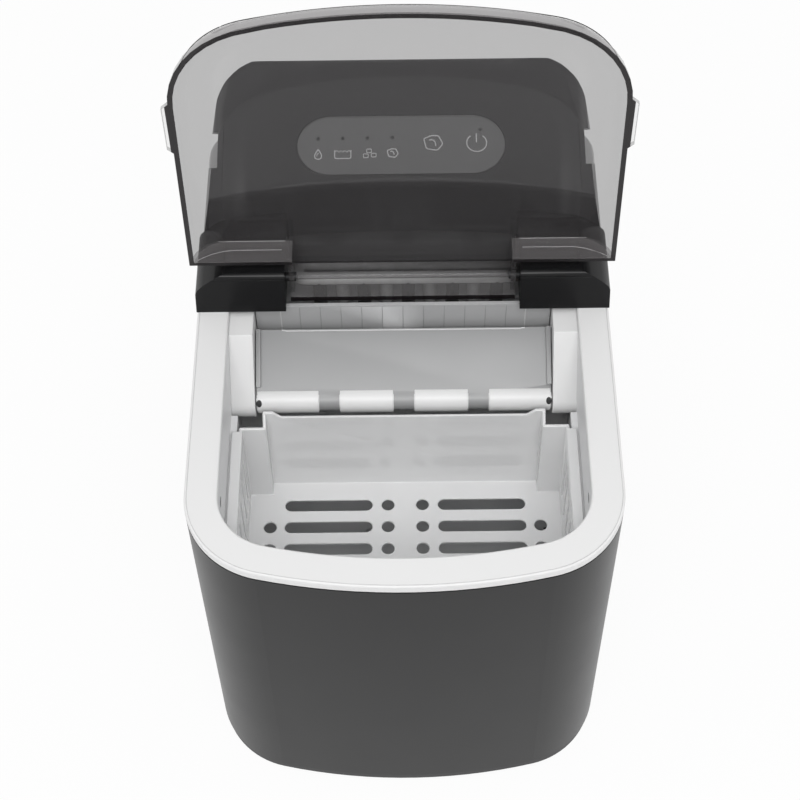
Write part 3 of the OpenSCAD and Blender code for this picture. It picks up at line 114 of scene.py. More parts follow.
def closedTubes(name, grids, smooth=True):
    # one mesh of tubes with closed ends, each from a grid of points with a ring in every row
    verts, faces, start = [], [], 0
    for grid in grids:
        n, sides = grid.shape[:2]
        verts.append(grid.reshape(-1, 3))
        faces += gridFaces(n, sides, False, True, start)
        faces.append(list(range(start, start + sides)))
        faces.append(list(range(start + (n - 1) * sides, start + n * sides))[::-1])
        start += n * sides
    obj = newObject(name, np.concatenate(verts), faces, smooth)
    turnOut(obj)
    return obj


def tubeGrid(path, radius, sides):
    # a circle carried along a path: ring point = path point + radius * (cos a * side + sin a * over), with
    # side and over square to the path's direction
    path = np.asarray(path, dtype=float)
    ahead = np.gradient(path, axis=0)
    ahead /= np.linalg.norm(ahead, axis=1, keepdims=True)
    ref = np.where(np.abs(ahead[:, :1]) < 0.9, [[1.0, 0, 0]], [[0, 0, 1.0]])
    side = np.cross(ahead, ref)
    side /= np.linalg.norm(side, axis=1, keepdims=True)
    over = np.cross(ahead, side)
    a = np.linspace(0, 2 * np.pi, sides, endpoint=False)[None, :, None]
    return path[:, None] + radius * (np.cos(a) * side[:, None] + np.sin(a) * over[:, None])


def tubePiece(name, paths, radius, sides=8):
    return closedTubes(name, [tubeGrid(path, radius, sides) for path in paths])


def softPiece(nodeName, edge, cuts=()):
    # the CAD shape once more, in its finish: doubles merged, cut where a finish changes, sharp edges rounded
    name = nodeName.replace("_", "") + "Soft"
    mesh = bpy.data.meshes.new(name)
    b = bmesh.new()
    b.from_mesh(nodes[nodeName].data)
    bmesh.ops.remove_doubles(b, verts=b.verts, dist=weldGap)
    for spot, normal in cuts:
        everything = b.verts[:] + b.edges[:] + b.faces[:]
        bmesh.ops.bisect_plane(b, geom=everything, plane_co=spot, plane_no=normal, dist=1e-7)
    b.to_mesh(mesh)
    b.free()
    obj = bpy.data.objects.new(name, mesh)
    bpy.context.scene.collection.objects.link(obj)
    obj.data.materials.append(nodeFinish[nodeName])
    if edge:
        bevel = obj.modifiers.new("edges", "BEVEL")
        bevel.width = edge
        bevel.segments = 2
        bevel.limit_method = "ANGLE"
        bevel.angle_limit = math.radians(sharpAngle)
        bevel.harden_normals = True
    return obj


def faceData(obj):
    # centre and normal of each face, as arrays
    n = len(obj.data.polygons)
    centre, normal = np.empty(n * 3), np.empty(n * 3)
    obj.data.polygons.foreach_get("center", centre)
    obj.data.polygons.foreach_get("normal", normal)
    return centre.reshape(-1, 3), normal.reshape(-1, 3)


def paint(obj, mask, material):
    # gives the faces under the mask a finish of their own; a mask's limits on normals are cosines
    if material.name not in [m.name for m in obj.data.materials]:
        obj.data.materials.append(material)
    index = [m.name for m in obj.data.materials].index(material.name)
    held = np.empty(len(obj.data.polygons), dtype=np.int32)
    obj.data.polygons.foreach_get("material_index", held)
    held[mask] = index
    obj.data.polygons.foreach_set("material_index", held)


def place(obj, bodyName, material=None, replaced=()):
    # gives a piece its finish, its body and slot, and the nodes that it stands in for
    if material:
        obj.data.materials.clear()
        obj.data.materials.append(material)
    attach(obj, bodyName)
    if replaced:
        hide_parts(*replaced)


def dress(nodeName, piece, join=0.5):
    # joins flat faces of one finish, up to an angle in degrees, shades smooth between sharp edges, and puts
    # the piece in the node's place
    if join:
        b = bmesh.new()
        b.from_mesh(piece.data)
        bmesh.ops.dissolve_limit(
            b, angle_limit=math.radians(join), verts=b.verts, edges=b.edges, delimit={"MATERIAL"}
        )
        b.to_mesh(piece.data)
        b.free()
    piece.data.polygons.foreach_set("use_smooth", np.full(len(piece.data.polygons), True))
    piece.data.set_sharp_from_angle(angle=math.radians(sharpAngle))
    place(piece, bodyOf[nodeName], None, [nodeName])


def nodeOf(t, kind, inputs=(), **values):
    n = t.nodes.new(kind)
    for k, v in values.items():
        setattr(n, k, v)
    for k, v in inputs:
        n.inputs[k].default_value = v
    return n


def maths(t, operation, *inputs):
    # the output of a maths node whose inputs are numbers or other nodes' outputs
    n = nodeOf(t, "ShaderNodeMath", operation=operation)
    for socket, value in zip(n.inputs, inputs):
        if isinstance(value, (int, float)):
            socket.default_value = value
        else:
            t.links.new(value, socket)
    return n.outputs[0]


def mixIn(t, tint, amount, color, low, high):
    # mixes in a second colour as the amount runs from low to high
    blend = nodeOf(t, "ShaderNodeMix", data_type="RGBA")
    blend.inputs["B"].default_value = [*color, 1]
    steps = nodeOf(t, "ShaderNodeMapRange", [("From Min", low), ("From Max", high)])
    t.links.new(amount, steps.inputs["Value"])
    t.links.new(steps.outputs["Result"], blend.inputs["Factor"])
    t.links.new(tint, blend.inputs["A"])
    return blend.outputs["Result"]


# each pattern's texture node, its inputs beside the scale, its settings and the output that is used
patterns = {
    "cells": ("ShaderNodeTexVoronoi", [], {}, "Distance"),
    "strands": ("ShaderNodeTexWave", [("Distortion", 0.4)], {"bands_direction": "Z"}, "Fac"),
    "tracks": ("ShaderNodeTexBrick", [("Mortar Size", 0.06), ("Bias", -0.5)], {}, "Fac"),
    "mottle": ("ShaderNodeTexNoise", [("Detail", 6), ("Roughness", 0.7)], {}, "Fac"),
}
# half width, power and height of the two terms of the arch on the rear cover, in metres; behind the arch
# its top band is painted darker as painted shade
archTerms = ((0.060, 2, 0.0055), (0.098, 8, 0.013))
# scale of the slow cloud, depth of the relief in metres, roughnesses, where a pattern's colour comes in, and
# the grain's share beside a pattern's own relief
finishSet = {
    "cloud": 35, "relief": 0.0004, "leastRough": 0.02, "coatRough": 0.12,
    "patternFrom": 0.35, "patternTo": 0.75, "grainShare": 0.4,
}


def finish(name, color, rough, grain=900.0, bump=0.02, vary=0.04, metallic=0.0, coat=0.0, alpha=1.0,
           roughVary=0.06, level=0.5, stretch=(1, 1, 1), pattern=None, second=None, scale=None):
    # base colour with a slow cloud of light and dark, roughness with a faint mottle, and a fine moulded grain
    # as bump; a pattern mixes in a second colour, and all patterns but arch and fade, which are painted
    # shade, add their relief
    m = bpy.data.materials.new(name)
    m.use_nodes = True
    t = m.node_tree
    shader = t.nodes["Principled BSDF"]
    coords = t.nodes.new("ShaderNodeTexCoord")
    mapping = nodeOf(t, "ShaderNodeMapping", [("Scale", stretch)])
    t.links.new(coords.outputs["Object"], mapping.inputs["Vector"])
    cloud = nodeOf(t, "ShaderNodeTexNoise", [("Scale", finishSet["cloud"]), ("Detail", 3)])
    t.links.new(mapping.outputs["Vector"], cloud.inputs["Vector"])
    base = nodeOf(t, "ShaderNodeMix", data_type="RGBA")
    base.inputs["A"].default_value = [c * (1 - vary) for c in color] + [1]
    base.inputs["B"].default_value = [min(1, c * (1 + vary)) for c in color] + [1]
    t.links.new(cloud.outputs["Fac"], base.inputs["Factor"])
    spread = t.nodes.new("ShaderNodeMapRange")
    spread.inputs["To Min"].default_value = max(finishSet["leastRough"], rough - roughVary)
    spread.inputs["To Max"].default_value = min(1, rough + roughVary)
    t.links.new(cloud.outputs["Fac"], spread.inputs["Value"])
    t.links.new(spread.outputs["Result"], shader.inputs["Roughness"])
    grains = nodeOf(t, "ShaderNodeTexNoise", [("Scale", grain), ("Detail", 2)])
    t.links.new(mapping.outputs["Vector"], grains.inputs["Vector"])
    height, tint = grains.outputs["Fac"], base.outputs["Result"]
    if pattern in ("arch", "fade"):
        # painted shade: the second colour comes in towards the back, between the two depths given as scale;
        # for an arch the depth grows away from the middle by the sum of height * (x / half width) ^ power
        axes = t.nodes.new("ShaderNodeSeparateXYZ")
        t.links.new(coords.outputs["Object"], axes.inputs[0])
        depth = axes.outputs["Y"]
        for halfWidth, power, high in archTerms if pattern == "arch" else ():
            raised = maths(t, "POWER", maths(t, "MULTIPLY", axes.outputs["X"], 1 / halfWidth), power)
            depth = maths(t, "MULTIPLY_ADD", raised, high, depth)
        tint = mixIn(t, tint, depth, second, *scale)
    elif pattern:
        kind, inputs, values, output = patterns[pattern]
        tex = nodeOf(t, kind, [("Scale", scale)] + inputs, **values)
        t.links.new(mapping.outputs["Vector"], tex.inputs["Vector"])
        tint = mixIn(t, tint, tex.outputs[output], second, finishSet["patternFrom"], finishSet["patternTo"])
        height = maths(t, "MULTIPLY_ADD", height, finishSet["grainShare"], tex.outputs[output])
    t.links.new(tint, shader.inputs["Base Color"])
    bumps = nodeOf(t, "ShaderNodeBump", [("Strength", bump), ("Distance", finishSet["relief"])])
    t.links.new(height, bumps.inputs["Height"])
    t.links.new(bumps.outputs["Normal"], shader.inputs["Normal"])
    shader.inputs["Metallic"].default_value = metallic
    shader.inputs["Coat Weight"].default_value = coat
    shader.inputs["Coat Roughness"].default_value = finishSet["coatRough"]
    shader.inputs["Alpha"].default_value = alpha
    shader.inputs["Specular IOR Level"].default_value = level
    return m


def clearFinish(name, color, rough, alpha, bump=0.0, vary=0.03):
    # smooth plastic that lets part of the light through
    return finish(name, color, rough, grain=300, bump=bump, vary=vary, alpha=alpha, roughVary=0.02)


# body plastics
shellSatin = finish("shellSatin", (0.014, 0.014, 0.0145), 0.33, grain=1500, bump=0.08, vary=0.05, level=0.20,
                    roughVary=0.03)
backBlack = finish("backBlack", (0.016, 0.016, 0.017), 0.5, grain=1200, bump=0.14, vary=0.06)
rimWhite = finish("rimWhite", (0.77, 0.77, 0.77), 0.36, grain=700, vary=0.006, roughVary=0.03)
# grey for the step on the rim, its painted shade
rimShade = finish("rimShade", (0.60, 0.60, 0.60), 0.40, grain=700, vary=0.006, roughVary=0.03)
linerWhite = finish("linerWhite", (0.76, 0.763, 0.768), 0.42, grain=600, bump=0.03, vary=0.010)
blockBlack = finish("blockBlack", (0.007, 0.007, 0.0075), 0.24, grain=500, bump=0.01, vary=0.05, level=0.22,
                    roughVary=0.03)
# the rear cover's top band behind the arch is painted darker, a painted shade
coverBlack = finish("coverBlack", (0.060, 0.060, 0.061), 0.30, grain=500, bump=0.0, vary=0.03, roughVary=0.03,
                    level=0.3, pattern="arch", second=(0.038, 0.038, 0.039), scale=(0.1354, 0.1366))
# painted shade on the rear cover's hollow wall and, darker still, on its apron
coverHollow = finish("coverHollow", (0.032, 0.032, 0.033), 0.34, grain=500, bump=0.004, vary=0.03, level=0.25)
coverDeep = finish("coverDeep", (0.016, 0.016, 0.0165), 0.40, grain=500, bump=0.004, vary=0.03, level=0.15)
panelGrey = finish("panelGrey", (0.20, 0.20, 0.202), 0.30, bump=0.0, vary=0.015, roughVary=0.02)
plasticBlack = finish("plasticBlack", (0.020, 0.020, 0.022), 0.48, bump=0.10, vary=0.06)
# clear plastics of the lid
lidSmoke = clearFinish("lidSmoke", (0.064, 0.060, 0.062), 0.06, 0.315)
lidWall = clearFinish("lidWall", (0.080, 0.066, 0.071), 0.08, 0.54)
lidEdge = finish("lidEdge", (0.010, 0.008, 0.009), 0.22, grain=400, bump=0.006, vary=0.05, level=0.2,
                 alpha=0.97)
# mid grey for the lid's bevelled edges, a painted highlight
lidGlint = clearFinish("lidGlint", (0.20, 0.19, 0.195), 0.10, 0.72)
lidDeep = clearFinish("lidDeep", (0.020, 0.018, 0.019), 0.12, 0.70)
# lighter end walls, a painted reflection
lidEnd = clearFinish("lidEnd", (0.105, 0.098, 0.100), 0.12, 0.62, bump=0.004)
# a light strip on the tail, a painted highlight
lidStrip = clearFinish("lidStrip", (0.27, 0.265, 0.268), 0.20, 0.75, bump=0.004)
lidTail = clearFinish("lidTail", (0.28, 0.27, 0.274), 0.10, 0.15)
# light lines on the lid's end walls, painted highlights
lidLine = clearFinish("lidLine", (0.36, 0.35, 0.355), 0.12, 0.80, vary=0.02)
lidTab = clearFinish("lidTab", (0.25, 0.24, 0.245), 0.10, 0.09, vary=0.02)
lidTabEdge = clearFinish("lidTabEdge", (0.14, 0.135, 0.137), 0.14, 0.45, vary=0.02)
# frosted plastics
basketFrost = finish("basketFrost", (0.80, 0.802, 0.805), 0.09, grain=500, bump=0.004, alpha=0.93, vary=0.010,
                     roughVary=0.03)
trayFrost = finish("trayFrost", (0.432, 0.434, 0.438), 0.38, grain=500, vary=0.015)
# a darker finish for the grooves' painted shade
trayGroove = finish("trayGroove", (0.29, 0.292, 0.295), 0.40, grain=500, vary=0.012)
# the shovel's grey, painted darker towards the back as painted shade
shovelGrey = finish("shovelGrey", (0.31, 0.312, 0.315), 0.34, grain=500, bump=0.01, vary=0.02, pattern="fade",
                    second=(0.20, 0.202, 0.205), scale=(-0.0133, 0.0196))
# a light finish for painted highlights along edges
edgeLight = finish("edgeLight", (0.62, 0.622, 0.625), 0.30, grain=500, bump=0.01, vary=0.012)
hoseClear = finish("hoseClear", (0.66, 0.68, 0.69), 0.25, grain=500, bump=0.03, alpha=0.75)
# metals
steelBright = finish("steelBright", (0.56, 0.57, 0.58), 0.30, grain=1800, bump=0.04, metallic=1.0, vary=0.05,
                     stretch=(0.05, 1, 1))
pinSteel = finish("pinSteel", (0.035, 0.035, 0.036), 0.40, grain=1800, bump=0.04, metallic=0.7, vary=0.05,
                  level=0.2)
nickelPlate = finish("nickelPlate", (0.11, 0.11, 0.11), 0.40, grain=800, bump=0.05, metallic=0.5, vary=0.12,
                     pattern="mottle", second=(0.07, 0.07, 0.07), scale=180)
# a light copy of the nickel, painted light on the evaporator
nickelFrost = finish("nickelFrost", (0.66, 0.66, 0.66), 0.50, grain=800, bump=0.06, metallic=0.15, vary=0.06,
                     pattern="mottle", second=(0.52, 0.52, 0.52), scale=180)
copperTube = finish("copperTube", (0.70, 0.36, 0.21), 0.30, grain=600, bump=0.05, metallic=1.0, vary=0.12,
                    pattern="mottle", second=(0.38, 0.17, 0.10), scale=90)
aluFins = finish("aluFins", (0.60, 0.61, 0.62), 0.42, grain=1500, bump=0.10, metallic=1.0, pattern="strands",
                 second=(0.42, 0.43, 0.44), scale=260)
enamelBlack = finish("enamelBlack", (0.016, 0.016, 0.018), 0.30, grain=250, bump=0.06, coat=0.3)
# soft parts and boards
rubberBlack = finish("rubberBlack", (0.018, 0.018, 0.018), 0.75, grain=1100, bump=0.25)
foamCream = finish("foamCream", (0.70, 0.66, 0.53), 0.85, grain=420, bump=0.6, vary=0.08, pattern="cells",
                   second=(0.60, 0.55, 0.42), scale=420)
boardGreen = finish("boardGreen", (0.025, 0.13, 0.055), 0.42, grain=700, bump=0.12, vary=0.10,
                    pattern="tracks", second=(0.05, 0.20, 0.09), scale=160)
# printed signs and lines
inkGrey = finish("inkGrey", (0.80, 0.80, 0.805), 0.45, grain=1500, vary=0.02)
borderGrey = finish("borderGrey", (0.205, 0.205, 0.207), 0.35, grain=1500, bump=0.01, vary=0.02)
ledDark = finish("ledDark", (0.045, 0.045, 0.046), 0.35, grain=1500, vary=0.03)
seamDark = finish("seamDark", (0.018, 0.018, 0.019), 0.6, grain=1500, vary=0.03)
print("finishes made")

nodeFinish = {
    "base_tray": backBlack, "foot_pads": rubberBlack, "outer_shell": shellSatin, "rear_panel": backBlack,
    "top_frame": rimWhite, "inner_tub": linerWhite, "tub_foam": foamCream, "ice_basket": basketFrost,
    "bracket_left": rimWhite, "bracket_right": rimWhite, "ice_shovel": shovelGrey,
    "shovel_rod": steelBright, "shovel_motor": steelBright, "water_tray": trayFrost,
    "tray_motor": steelBright, "evaporator": nickelPlate, "evaporator_lines": copperTube,
    "pump_hose": hoseClear, "water_pump": plasticBlack, "compressor": enamelBlack,
    "compressor_grommets": rubberBlack, "condenser": aluFins, "fan_shroud": plasticBlack,
    "fan_motor": plasticBlack, "fan_blades": plasticBlack, "filter_drier": copperTube,
    "hot_gas_valve": copperTube, "drain_hose": hoseClear, "drain_plug": rubberBlack,
    "cord_gland": rubberBlack, "main_board": boardGreen, "hinge_block_left": blockBlack,
    "hinge_block_right": blockBlack, "hinge_pins": pinSteel, "lid": lidSmoke, "rear_cover": coverBlack,
    "display_board": boardGreen, "control_panel": panelGrey, "panel_screws": steelBright,
    "ice_sensors": plasticBlack,
}
for nodeName, obj in nodes.items():
    obj.data.materials.clear()
    obj.data.materials.append(nodeFinish[nodeName])

# bevel widths in metres, and the piece whose bevel isn't held back where edges lie close together
softEdges = {
    "hinge_block_left": 0.0007, "hinge_block_right": 0.0007, "bracket_left": 0.0006, "bracket_right": 0.0006,
    "top_frame": 0.0012, "ice_basket": 0.0007, "rear_cover": 0.0006,
}
freeEdge = "ice_basket"
# how far back the rear cover's hollow wall and its apron reach, from the front face; both are painted darker
# as painted shade
coverSet = {"hollow": 0.239, "apron": 0.2070}

for nodeName, width in softEdges.items():
    piece = softPiece(nodeName, width)
    if nodeName == "rear_cover":
        centre, normal = faceData(piece)
        deep = centre[:, 1] - frontY
        # painted shade: the hollow wall under the face and the apron below it are darker
        paint(piece, (normal[:, 1] < -0.8) & (deep < coverSet["hollow"]), coverHollow)
        paint(piece, (normal[:, 1] < -0.5) & (deep < coverSet["apron"]), coverDeep)
    if nodeName == freeEdge:
        piece.modifiers["edges"].use_clamp_overlap = False
        piece.modifiers["edges"].segments = 3
    dress(nodeName, piece)
print("rounded copies made")

# the shovel in metres from its pivot line: the plate's slope in degrees, its top and tip, the barrels and
# their sleeves from x to x, the dark dimples on them as the painted shade of the rod's holes, and the webs
# between them
shovelSet = {
    "slope": 30.0, "edge": 0.0003, "plateTop": 0.0060, "length": 0.038, "tipDepth": 0.001,
    "tipHalf": 0.0665, "tipCorner": 0.003, "tipIn": 0.0008, "tipLine": 0.0004,
    "barrel": 0.0063, "barrelSlack": 0.0004, "joinSlack": 0.0001, "sleeve": 0.0073, "round": 0.0003,
    "barrels": ((-0.0799, -0.0465), (-0.0349, -0.0058), (0.0058, 0.0349), (0.0465, 0.0799)),
    "hole": 0.0021, "holeX": 0.0789, "holeAngle": 142, "holeSquash": 0.7,
    "holeRings": ((1.0, -0.0003), (1.0, 0.00007), (0.66, 0.00008), (0.33, 0.00008), (0.02, 0.00008)),
    "webOuter": 0.0062, "webInner": 0.0036, "webDrop": 0.0001, "webFrom": 90, "webSweep": 200,
    "webEnds": ((-0.0462, -0.0352), (-0.0055, 0.0055), (0.0352, 0.0462)),
}
shovelY, shovelZ = jointOf["shovel_swing"]["pos_m"][1:]
shovelSlope = math.radians(shovelSet["slope"])


def shovelFrame(points):
    # distances along the plate and square to it, from the pivot line
    dy, dz = points[..., 1] - shovelY, points[..., 2] - shovelZ
    along = dy * math.cos(shovelSlope) + dz * math.sin(shovelSlope)
    return along, dz * math.cos(shovelSlope) - dy * math.sin(shovelSlope)


def makeShovel(s):
    # the barrels round the pivot are white, the plate grey, and the edge at its tip light as a painted
    # highlight
    along = np.array([0, math.cos(shovelSlope), math.sin(shovelSlope)])
    join = math.sqrt(s["barrel"] ** 2 - s["plateTop"] ** 2)
    cuts = [(tuple(np.array([0, shovelY, shovelZ]) + along * join), tuple(along))]
    cuts += [((x, shovelY, shovelZ), (1, 0, 0)) for ends in s["webEnds"] for x in ends]
    piece = softPiece("ice_shovel", s["edge"], cuts)
    centre, normal = faceData(piece)
    far, high = shovelFrame(centre)
    between = np.any([(centre[:, 0] > x0) & (centre[:, 0] < x1) for x0, x1 in s["webEnds"]], axis=0)
    turned = (np.hypot(far, high) < s["barrel"] + s["barrelSlack"]) & (far < join + s["joinSlack"])
    paint(piece, turned & ~between, rimWhite)
    # painted highlight: the end face of the plate's tip is light
    paint(piece, (normal @ along > 0.9) & (far > s["length"] - s["tipDepth"]), edgeLight)
    dress("ice_shovel", piece)


def makeTipLine(s):
    # the painted highlight as a light line along the top of the plate's tip, turned out by a quarter circle
    # at both sides but kept inside the tip's end
    c = np.radians(np.linspace(0, 90, 8))
    r = s["tipCorner"]
    x = np.concatenate([s["tipHalf"] - r + r * np.cos(c), np.linspace(s["tipHalf"] - 2 * r, 0, 12)])
    far = s["length"] - s["tipIn"] - np.concatenate([r * np.sin(c) - r, np.zeros(12)])
    x = np.concatenate([x, -x[-2::-1]])
    far = np.minimum(np.concatenate([far, far[-2::-1]]), s["length"] - s["tipLine"])
    path = np.stack([
        x, shovelY + far * math.cos(shovelSlope) - s["plateTop"] * math.sin(shovelSlope),
        shovelZ + far * math.sin(shovelSlope) + s["plateTop"] * math.cos(shovelSlope)
    ], axis=1)
    place(tubePiece("shovelTipLine", [path], s["tipLine"]), "shovel", edgeLight)


def makeWebs(s):
    # the plate carried on round the rod between the barrels: radius easing from the plate's top to the web's
    # own as the angle runs from the top round the front to the bottom, with an inner wall of fixed radius
    t = np.linspace(0, 1, 28)
    angle = np.radians(s["webFrom"] + s["webSweep"] * t)
    ease = np.clip(t * 4, 0, 1)
    outer = s["plateTop"] - s["webDrop"] + (s["webOuter"] - s["plateTop"]) * ease * ease * (3 - 2 * ease)
    along = np.concatenate([outer * np.cos(angle), (s["webInner"] * np.cos(angle))[::-1]])
    over = np.concatenate([outer * np.sin(angle), (s["webInner"] * np.sin(angle))[::-1]])
    wall = np.stack([
        along * math.cos(shovelSlope) - over * math.sin(shovelSlope) + shovelY,
        along * math.sin(shovelSlope) + over * math.cos(shovelSlope) + shovelZ
    ], axis=1)
    n = len(wall)
    verts, faces, start = [], [], 0
    for x0, x1 in s["webEnds"]:
        grid = np.stack([np.concatenate([np.full((n, 1), x), wall], axis=1) for x in (x0, x1)])
        verts.append(grid.reshape(-1, 3))
        faces += gridFaces(2, n, False, True, start)
        for k in (start, start + n):  # end caps as quads between the outer and the inner wall
            faces += [[k + i, k + i + 1, k + n - 2 - i, k + n - 1 - i] for i in range(n // 2 - 1)]
        start += 2 * n
    obj = newObject("shovelWebs", np.concatenate(verts), faces)
    turnOut(obj)
    obj.data.set_sharp_from_angle(angle=math.radians(sharpAngle))
    place(obj, "shovel", shovelGrey)


def makeBarrels(s):
    # the white barrels as turned sleeves with rounded ends, within the rounding's depth of both ends:
    # radius = sleeve - round * (1 - sqrt(1 - (1 - depth / round)^2))
    t = np.linspace(0, 2 * np.pi, 64, endpoint=False)[None, :]
    d = s["round"] * (1 - np.cos(np.linspace(0, np.pi / 2, 6)))
    r = s["sleeve"] - s["round"] * (1 - np.sqrt(1 - (1 - d / s["round"]) ** 2))
    r = np.concatenate([r, r[::-1]])[:, None]
    grids = []
    for x0, x1 in s["barrels"]:
        x = np.concatenate([x0 + d, (x1 - d)[::-1]])[:, None]
        grids.append(np.stack([x + 0 * t, shovelY + r * np.cos(t), shovelZ + r * np.sin(t)], axis=2))
    obj = closedTubes("shovelBarrels", grids)
    obj.data.set_sharp_from_angle(angle=math.radians(40))
    place(obj, "shovel", rimWhite)


def makeHoles(s):
    # a dark round dimple at the outer end of both outer barrels, the painted shade of the rod's hole, as
    # rings wrapped on the sleeve, each with a share of the radius and a rise above it:
    # x = x0 + squash * r cos t, angle = a0 + r sin t / sleeve
    t = np.linspace(0, 2 * np.pi, 20, endpoint=False)
    share, rise = np.array(s["holeRings"]).T[:, :, None]
    r, over = share * s["hole"], s["sleeve"] + rise
    a = math.radians(s["holeAngle"]) + r * np.sin(t) / s["sleeve"]
    grids = []
    for side in (-1, 1):
        x = side * s["holeX"] + r * np.cos(t) * s["holeSquash"]
        grids.append(np.stack([x, shovelY + over * np.cos(a), shovelZ + over * np.sin(a)], axis=2))
    place(closedTubes("barrelHoles", grids, False), "shovel", seamDark)


# the panel on the tray's front wall, how far behind its face all points are laid flat, which takes in the
# grooves and the rounding of their edges, and the lines that take the grooves' place, in metres; the lines
# in the grooves' place are their painted shade, the lines at the panel's sides painted highlights
traySet = {
    "edge": 0.0005, "panelHalf": 0.0668, "margin": 0.0003, "flatFor": 0.0013, "low": 0.1895, "top": 0.2310,
    "weld": 0.00001,
    "line": 0.00028, "ribs": 11, "pitch": 0.01125, "rib": 0.00016,
}


def makeTray(s):
    # the front wall is laid flat and its grooves come back as fine darker lines, their painted shade; the
    # panel's sides are lighter lines, painted highlights
    piece = softPiece("water_tray", s["edge"])
    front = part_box("water_tray")[0][1]
    spot = np.empty(len(piece.data.vertices) * 3)
    piece.data.vertices.foreach_get("co", spot)
    spot = spot.reshape(-1, 3)
    x, y, z = spot.T
    inside = (np.abs(x) < s["panelHalf"] + s["margin"]) & (z > s["low"])
    spot[inside & (y > front) & (y < front + s["flatFor"]), 1] = front
    piece.data.vertices.foreach_set("co", spot.ravel())
    b = bmesh.new()
    b.from_mesh(piece.data)
    bmesh.ops.remove_doubles(b, verts=b.verts, dist=s["weld"])
    bmesh.ops.dissolve_degenerate(b, edges=b.edges, dist=s["weld"])
    b.to_mesh(piece.data)
    b.free()
    dress("water_tray", piece)
    up = np.linspace(s["low"], s["top"], 12)
    ribs = (np.arange(s["ribs"]) - (s["ribs"] - 1) / 2) * s["pitch"]
    for name, places, radius, material in (
        ("trayLines", (-s["panelHalf"], s["panelHalf"]), s["line"], edgeLight),
        ("trayRibs", ribs, s["rib"], trayGroove),
    ):
        paths = [np.stack([np.full(12, x), np.full(12, front), up], axis=1) for x in places]
        place(tubePiece(name, paths, radius), "tray", material)


# places on the closed lid in metres: depths from the front face, heights above the rim and distances from the
# middle; its end lines, painted highlights, run from x to x and from height to height
lidSet = {
    "edge": 0.00035, "rimHigh": 0.0008, "tabFrom": 0.11305, "tabHigh": 0.0035,
    "tailFrom": 0.1965, "tailInner": 0.0615, "stripFrom": 0.0125,
    "cheek": 0.0598, "cheekHalf": 0.0016, "cheekFrom": 0.1690,
    "end": 0.1685, "endHalf": 0.003, "endFrom": 0.0625,
    "wallLow": 0.0005, "wallHigh": 0.0155, "wallBack": 0.050,
    "beadRadius": 0.00022, "beadOut": -0.0034, "beadUp": 0.0128, "beadEnd": 1.25,
    "lineDeep": 0.1673, "lineRadius": 0.00025, "lineBend": 0.55,
    "endLines": ((0.0625, 0.0985, 0.0151, 0.0151), (0.0640, 0.1085, 0.0088, 0.0020)),
}


def lidTurn():
    # the pins' place and the turn from the open lid to the closed one: y' = y cos a - z sin a and
    # z' = y sin a + z cos a
    j = jointOf["lid_hinge"]
    a = math.radians(-j["range_deg"][0])
    turn = np.array([[1, 0, 0], [0, math.cos(a), -math.sin(a)], [0, math.sin(a), math.cos(a)]])
    return np.array(j["pos_m"]), turn


def makeLid(s):
    # smoky clear plastic, darker along its open edge, with nearly clear tabs, end walls painted greyer as a
    # painted reflection and a light strip on the tail as a painted highlight
    piece = softPiece("lid", s["edge"], [((side * s["tabFrom"], 0, 0), (1, 0, 0)) for side in (1, -1)])
    centre, normal = faceData(piece)
    pin, turn = lidTurn()
    c, n = (centre - pin) @ turn.T + pin, normal @ turn.T
    out, deep, up = np.abs(c[:, 0]), c[:, 1] - frontY, c[:, 2] - body["rimTop"]
    sideways, lengthwise, upright = np.abs(n).T
    rim = (n[:, 2] < -0.9) & (up < s["rimHigh"])
    tab = (out > s["tabFrom"]) & (up < s["tabHigh"])
    end = (lengthwise > 0.8) & (out > s["endFrom"]) & (np.abs(deep - s["end"]) < s["endHalf"])
    tail = (out < s["tailInner"]) & (deep > s["tailFrom"])
    cheek = (sideways > 0.9) & (np.abs(out - s["cheek"]) < s["cheekHalf"]) & (deep > s["cheekFrom"])
    wall = (lengthwise > 0.55) & (upright < 0.8) & (deep < s["wallBack"])
    wall &= (up > s["wallLow"]) & (up < s["wallHigh"])
    paint(piece, wall, lidWall)
    # painted reflection: the end walls beside the tail are lighter and less clear
    paint(piece, end, lidEnd)
    paint(piece, tail & (up <= s["stripFrom"]), lidTail)
    # painted highlight: a light strip high on the tail
    paint(piece, tail & (up > s["stripFrom"]), lidStrip)
    paint(piece, cheek, lidDeep)
    paint(piece, rim, lidEdge)
    paint(piece, tab & (upright > 0.8), lidTab)
    paint(piece, tab & (upright <= 0.8), lidTabEdge)
    # the bevelled edges take a mid grey finish as a painted highlight
    piece.data.materials.append(lidGlint)
    piece.modifiers["edges"].material = len(piece.data.materials) - 1
    dress("lid", piece)


def shellPlan(out, end):
    # the right half of the housing's front outline, moved out by the given distance: the crown's circle, then
    # the corner's up to the end angle
    far = body["crownRadius"] - body["cornerRadius"]
    cornerX = body["halfWidth"] - body["cornerRadius"]
    a0 = math.asin(cornerX / far)
    a, b = np.linspace(0, a0, 30), np.linspace(a0, end, 24)[1:]
    crown, r = body["crownRadius"] + out, body["cornerRadius"] + out
    x = np.concatenate([crown * np.sin(a), cornerX + r * np.sin(b)])
    cornerY = body["crownRadius"] - far * math.cos(a0)
    y = np.concatenate([body["crownRadius"] - crown * np.cos(a), cornerY - r * np.cos(b)])
    return np.stack([x, y], axis=1)


def wholePlan(half, height):
    # the right half of an outline mirrored to the left, at one height
    plan = np.concatenate([(half * [-1, 1])[::-1], half[1:]])
    return np.stack([plan[:, 0], plan[:, 1] + frontY, np.full(len(plan), height)], axis=1)


